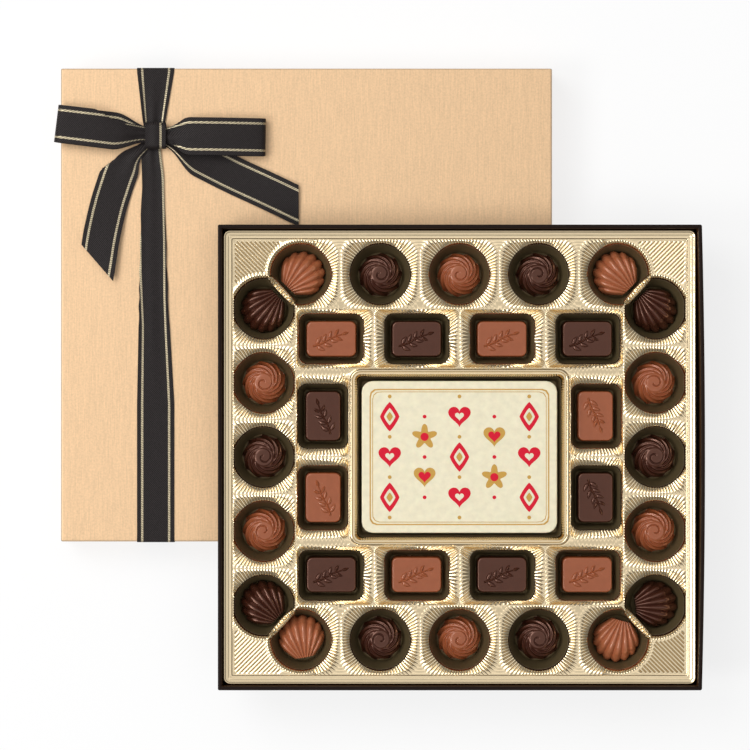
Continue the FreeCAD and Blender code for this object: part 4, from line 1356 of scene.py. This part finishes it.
class CHOCOLATEBOX_OT_plaque(bpy.types.Operator):
    """Moulds the plaque in the middle and prints its face"""

    bl_idname = "chocolate_box.plaque"
    bl_label = "Plaque"

    def execute(self, context):
        look = context.scene.box_plaque
        cream = chocolate("cream_chocolate", look.cream, 0.5)
        foot = 0.15 * MM
        # The plaque's slab is dark chocolate; its dark rim round the cream face also paints the shade in
        # the gap round the plaque
        for name, material, slot, edge in (
            ("plaque_slab", chocolate_of("dark"), "dark_chocolate", 0.3 * MM),
            ("plaque_face", cream, "white_chocolate", 0.8 * MM),
        ):
            low, high = box_of(name)
            profile = [(foot, low[2]), (0.0, low[2] + foot), *rounded_edge(edge, high[2])]
            skin = Skin()
            outline = plate_outline(low[:2], high[:2], look.corner, shrink=1.0, count=160)
            skin.stack(outline, profile)
            skin.piece(f"{name}_mould", [material], 40, "plaque", slot, [name])

        middle, half = plan_of("plaque_face")
        top = high[2]
        sunk = 0.1 * MM
        skin = Skin()
        place = even_places(*(2 * half), 5 * MM, 120)
        for outer, inner in GOLD_LINES:
            loops = []
            for inset, z in ((outer, -sunk), (outer, look.ink), (inner, look.ink), (inner, -sunk)):
                reach = half - inset * MM
                flat = rounded_loop(middle - reach, middle + reach, 4 * MM, place)
                loops.append(skin.outline(flat, top + z))
            skin.bands(*loops, loops[0], mark=GOLD)

        def stamp(outline, spot, mark, layer=1):
            skin.prism(outline + spot, top - sunk, top + layer * look.ink, mark)

        pitch = np.array([20.4, 23.6]) * MM
        dot = disc(1.1 * MM)
        for i in range(-2, 3):
            for row in (-0.5, 0.5) if i % 2 else (-1, 0, 1):
                spot = middle + pitch * np.array([i, row])
                motif = MOTIFS[(i + 2 * int(row + 1)) % len(MOTIFS)]
                for layer, (shape, reach, mark) in enumerate(motif, 1):
                    stamp(shape(reach * MM), spot, mark, layer)
                for side in (-0.5, 0.5):
                    stamp(dot, spot + pitch * np.array([0, side]), RED if i % 2 else GOLD)
        inks = [ink("red_ink", look.red), ink("gold_ink", look.gold, 0.38, 0.3), cream]
        skin.piece("plaque_print", inks, 40, "plaque", "white_chocolate", [])
        return {"FINISHED"}


# Ribbon

BELOW_BOW = ["lid_paper", "ribbon_band_cloth"]
# Points along each tail's middle line, from the knot, in millimetres
LEFT_TAIL = ((-6.5, -3.6), (-18.0, -14.5), (-26.0, -35.0), (-31.0, -55.5), (-34.2, -75.0))
RIGHT_TAIL = ((7.0, -3.4), (22.0, -11.0), (44.5, -22.4), (66.0, -32.4), (84.5, -41.2))


def columns(ribbon):
    """Places across the ribbon in metres, and which gaps between them are gold."""
    inner = ribbon.selvedge
    outer = inner + ribbon.stripe
    left = [0.0, 0.35 * inner, 0.7 * inner, inner, (inner + outer) / 2, outer]
    middle = list(np.linspace(outer, ribbon.width - outer, 13)[1:-1])
    right = [ribbon.width - part for part in reversed(left)]
    across = np.array(left + middle + right)
    gold = [int(i in (3, 4, len(across) - 6, len(across) - 5)) for i in range(len(across) - 1)]
    return across, gold


class Bow:
    """What the pieces of the ribbon share"""

    def __init__(self, ribbon):
        self.materials = [ribbon_black(ribbon.black), ribbon_gold(ribbon.gold)]
        self.width = ribbon.width
        self.gauge = ribbon.gauge
        across, self.gold = columns(ribbon)
        self.across = across[None, :]
        self.share = self.across / self.width
        self.fold = 1.3 * self.gauge
        self.lid_low, self.lid_high = box_of("lid_wrap")
        self.top = self.lid_high[2]
        self.knot = plan_of("bow_knot")[0]

    def folded(self, low, high):
        """Where each place across lies, as a share of what shows, and how far it is folded under."""
        across, width = self.across, self.width
        place = np.where(across < low, 2 * low - across, across)
        place = np.where(across > width - high, 2 * (width - high) - across, place)
        soft = 0.9 * MM
        under = np.maximum(ease((low - across) / soft), ease((across - width + high) / soft))
        return (place - low) / (width - low - high), under

    def strip(self, name, spots, closed):
        """A thin closed sheet over a grid of points, rows along the ribbon and columns across it."""
        if closed:
            forward = np.roll(spots, -1, axis=0) - np.roll(spots, 1, axis=0)
        else:
            forward = np.gradient(spots, axis=0)
        normal = np.cross(np.gradient(spots, axis=1), forward)
        normal /= np.maximum(np.linalg.norm(normal, axis=2), 1e-12)[:, :, None]
        lift = np.full(spots.shape[1], 0.5 * self.gauge)
        lift[[4, -5]] += 0.2 * self.gauge
        skin = Skin()
        sheets = (spots + normal * lift[None, :, None], spots - normal * (0.5 * self.gauge))
        top, bottom = (skin.loop(*np.moveaxis(s, 2, 0)).reshape(spots.shape[:2]) for s in sheets)
        skin.grid(top, self.gold, closed)
        skin.grid(bottom[:, ::-1], self.gold[::-1], closed)
        for a, b in ((top[:, 0], bottom[:, 0]), (bottom[:, -1], top[:, -1])):
            if closed:
                a, b = np.append(a, a[0]), np.append(b, b[0])
            skin.strand(a, b)
        if not closed:
            skin.strand(bottom[0], top[0])
            skin.strand(top[-1], bottom[-1])
        mesh = skin.mesh(name, self.materials, 50)
        weave_map = mesh.uv_layers.new(name="weave")
        for loop in mesh.loops:
            x, y, z = mesh.vertices[loop.vertex_index].co / (10 * MM)
            weave_map.data[loop.index].uv = (x, y + z)
        return mesh

    def tie(self, name, x, y, z, length, held, rests, closed=False):
        """Makes one piece of the ribbon, as a sheet of the ribbon's width. The length given is not used.
        """
        spots = np.stack(np.broadcast_arrays(x, y, z), axis=2)
        mesh = self.strip(f"{name}_cloth", spots, closed)
        piece = add_piece(mesh, f"{name}_cloth", "lid", "ribbon", [name])


def graded(distance, *stops):
    """A size that runs between stops, each a distance and a size in millimetres."""
    at, value = zip(*stops)
    return np.interp(distance / MM, at, value) * MM


def ribbon_band(bow):
    """The band round the lid, drawn in towards the knot."""
    top, front, back = bow.top, bow.lid_low[1], bow.lid_high[1]
    bend = 0.9 * MM
    out = bow.gauge / 2 + 0.03 * MM
    up = [(back + out, z) for z in np.linspace(0.6 * MM, top - bend, 6)[:-1]]
    for turn in np.linspace(0, QUARTER_TURN, 7):
        y = back - bend + (bend + out) * math.cos(turn)
        up.append((y, top - bend + (bend + out) * math.sin(turn)))
    over = [(y, top + out) for y in np.linspace(back - bend, front + bend, 150)[1:-1]]
    down = [(front + back - y, z) for y, z in reversed(up)]
    path = np.array(up + over + down)
    y, z = path[:, 0, None], path[:, 1, None]
    off = y - bow.knot[1]
    widths = ((-158, 22.0), (-95, 17.1), (-24, 13.2), (-8, 10.8), (0, 11.0), (9, 13.4), (38, 22.0))
    leans = ((-158, 0.0), (-95, -1.2), (-24, -1.6), (-8, -2.6), (0, -1.0), (9, -0.9), (38, 0.0))
    seen = graded(off, *widths)
    low = graded(off, (-112, 0.0), (-80, 2.4), (-8, 5.2), (0, 4.0), (8, 0.0))
    high = graded(off, (-112, 0.0), (-60, 1.8), (-8, 2.3), (0, 1.5), (8, 0.0))
    place, under = bow.folded(low, high)
    x = bow.knot[0] + graded(off, *leans) + (place - 0.5) * seen
    slack = np.clip(1 - seen / (bow.width - low - high), 0, 1)
    wave = 2.2 * MM * slack * (0.5 + 0.5 * np.cos(2 * FULL_TURN * place + 0.8))
    raised = bow.fold * ease((low + high) / (1.5 * MM)) * (1 - under)
    z = z + (z > top) * (wave + raised)
    bow.tie("ribbon_band", x, y, z, path_length(path), "stretched", ["lid_paper"])


def bow_loop(bow, name, reach, flare, heading, low_stop, high_stop):
    """A loop folded back on itself. Its reach, flare and stops are in millimetres."""
    lower = [(2.0, 2.0), (9.0, 2.0), (20.0, 1.5), (0.6 * reach, 1.35), (reach - 4.5, 1.5)]
    bend = [(reach - 0.9, 3.4), (reach - 0.7, 5.6)]
    upper = [(reach - 4.5, 7.7), (0.6 * reach, 8.5), (20.0, 7.2), (9.0, 3.9), (2.0, 3.1)]
    line = curve(lower + bend + upper, 120) * MM
    far, rise = line[:, 0, None], line[:, 1, None]
    above = (np.arange(len(line)) > len(line) / 2)[:, None]
    turned = 4.5 * MM * above
    low = turned * (1 - ease((far / MM - low_stop + 5) / 8))
    high = turned * (1 - ease((far / MM - high_stop + 9) / 12))
    place, under = bow.folded(low, high)
    drawn = ease((far - 5.0 * MM) / (flare * MM))
    waist = 9.5 * MM
    seen = waist + (bow.width - low - high - waist) * drawn
    aside = (place - 0.5) * seen + (low - high) / 2 * drawn
    folds = 1 - ease((far - 3 * MM) / ((flare + 8) * MM))
    wave = 0.7 * MM * folds * np.cos(2 * FULL_TURN * bow.share + 0.6)
    rise = rise + np.where(above, wave + 0.4 * MM * folds, 0.25 * wave) - bow.fold * under
    turn = math.radians(heading)
    way, cross = math.cos(turn), math.sin(turn)
    flip = math.copysign(1.0, way)
    x = bow.knot[0] + far * way - flip * aside * cross
    y = bow.knot[1] + far * cross + flip * aside * way
    bow.tie(name, x, y, bow.top + rise, 2 * reach * MM, "folded", BELOW_BOW)


def bow_tail(bow, name, points, slant, turned, lift):
    """A tail with a slanted end, drawn in under the knot. turned and lift are in millimetres."""
    spine = curve(points, 70) * MM
    ahead = unit(np.gradient(spine, axis=0))
    length = path_length(spine)
    along = np.linspace(0, length, len(spine))[:, None]
    high = turned * MM * (1 - ease((along - 18 * MM) / (10 * MM)))
    place, under = bow.folded(0.0, high)
    waist = 6.0 * MM
    seen = waist + (bow.width - high - waist) * ease((along - 1 * MM) / (22 * MM))
    aside = (place - 0.5) * seen - high / 2
    stretch = slant * aside * (along / length) ** 3
    x = bow.knot[0] + spine[:, 0, None] + ahead[:, 1, None] * aside + ahead[:, 0, None] * stretch
    y = bow.knot[1] + spine[:, 1, None] - ahead[:, 0, None] * aside + ahead[:, 1, None] * stretch
    folds = 1 - ease((along - 2 * MM) / (34 * MM))
    wave = 0.5 * MM * folds * (1 + np.cos(2 * FULL_TURN * bow.share + 2.2))
    curl = ease((along / length - 0.35) / 0.65) * (0.75 + 0.25 * np.cos(math.pi * bow.share))
    near = 0.9 * MM * (1 - ease((along - 10 * MM) / (25 * MM)))
    z = bow.top + 1.8 * bow.gauge + near + wave + lift * MM * curl - bow.fold * under
    bow.tie(name, x, y, z, length, "laid", BELOW_BOW)


def bow_knot(bow):
    """The knot round the middle of the bow, its left edge folded under."""
    high, deep, wide = 5.4 * MM, 15.0 * MM, 12.6 * MM
    corner, turned = 2.3 * MM, 9.2 * MM
    around = even_places(deep, high, corner, 64)
    ring = rounded_loop((-deep / 2, 0.0), (deep / 2, high), corner, around)
    ahead = unit(np.roll(ring, -1, axis=0) - np.roll(ring, 1, axis=0))
    place, under = bow.folded(turned, 0.0)
    swell = 0.5 * MM * np.sin(math.pi * place) + 0.2 * MM * np.cos(2 * FULL_TURN * place)
    level = swell * ring[:, 1, None] / high - bow.fold * under
    x = bow.knot[0] + (place - 0.5) * wide
    y = bow.knot[1] - ring[:, 0, None] - ahead[:, 1, None] * level
    z = bow.top + 0.9 * MM + ring[:, 1, None] - ahead[:, 0, None] * level
    rests = ["bow_loop_left_cloth", "bow_loop_right_cloth"]
    bow.tie("bow_knot", x, y, z, path_length(ring), "folded", rests, True)


class CHOCOLATEBOX_OT_ribbon(bpy.types.Operator):
    """Ties the ribbon: the band, the loops, the tails and the knot"""

    bl_idname = "chocolate_box.ribbon"
    bl_label = "Ribbon"

    def execute(self, context):
        bow = Bow(context.scene.box_ribbon)
        ribbon_band(bow)
        bow_loop(bow, "bow_loop_left", 58.9, flare=20.0, heading=173.0, low_stop=0.0, high_stop=34.0)
        bow_loop(bow, "bow_loop_right", 65.3, flare=16.0, heading=-1.0, low_stop=13.0, high_stop=14.0)
        bow_tail(bow, "bow_tail_left", LEFT_TAIL, slant=-0.83, turned=4.2, lift=3.6)
        bow_tail(bow, "bow_tail_right", RIGHT_TAIL, slant=0.48, turned=0.0, lift=1.6)
        bow_knot(bow)
        return {"FINISHED"}


# Panel and registration


class CHOCOLATEBOX_PT_panel(bpy.types.Panel):
    """Lists the steps of the chocolate box"""

    bl_idname = "CHOCOLATEBOX_PT_panel"
    bl_label = "Chocolate Box"
    bl_space_type = "VIEW_3D"
    bl_region_type = "UI"
    bl_category = "Chocolate Box"

    def draw(self, context):
        for operator in OPERATORS:
            self.layout.operator(operator.bl_idname)


SETTINGS = {
    "box_stage": StageSettings,
    "box_papers": PaperSettings,
    "box_tray": TraySettings,
    "box_chocolates": ChocolateSettings,
    "box_plaque": PlaqueSettings,
    "box_ribbon": RibbonSettings,
}
OPERATORS = (
    CHOCOLATEBOX_OT_stage,
    CHOCOLATEBOX_OT_papers,
    CHOCOLATEBOX_OT_tray,
    CHOCOLATEBOX_OT_swirls,
    CHOCOLATEBOX_OT_shells,
    CHOCOLATEBOX_OT_tiles,
    CHOCOLATEBOX_OT_plaque,
    CHOCOLATEBOX_OT_ribbon,
)


def register():
    for made in (*SETTINGS.values(), *OPERATORS, CHOCOLATEBOX_PT_panel):
        bpy.utils.register_class(made)
    for name, settings in SETTINGS.items():
        setattr(bpy.types.Scene, name, PointerProperty(type=settings))


def unregister():
    for name in SETTINGS:
        delattr(bpy.types.Scene, name)
    for made in reversed((*SETTINGS.values(), *OPERATORS, CHOCOLATEBOX_PT_panel)):
        bpy.utils.unregister_class(made)


def main():
    register()
    bpy.ops.chocolate_box.stage()
    bpy.ops.chocolate_box.papers()
    bpy.ops.chocolate_box.tray()
    bpy.ops.chocolate_box.swirls()
    bpy.ops.chocolate_box.shells()
    bpy.ops.chocolate_box.tiles()
    bpy.ops.chocolate_box.plaque()
    bpy.ops.chocolate_box.ribbon()


if __name__ == "__main__":
    main()
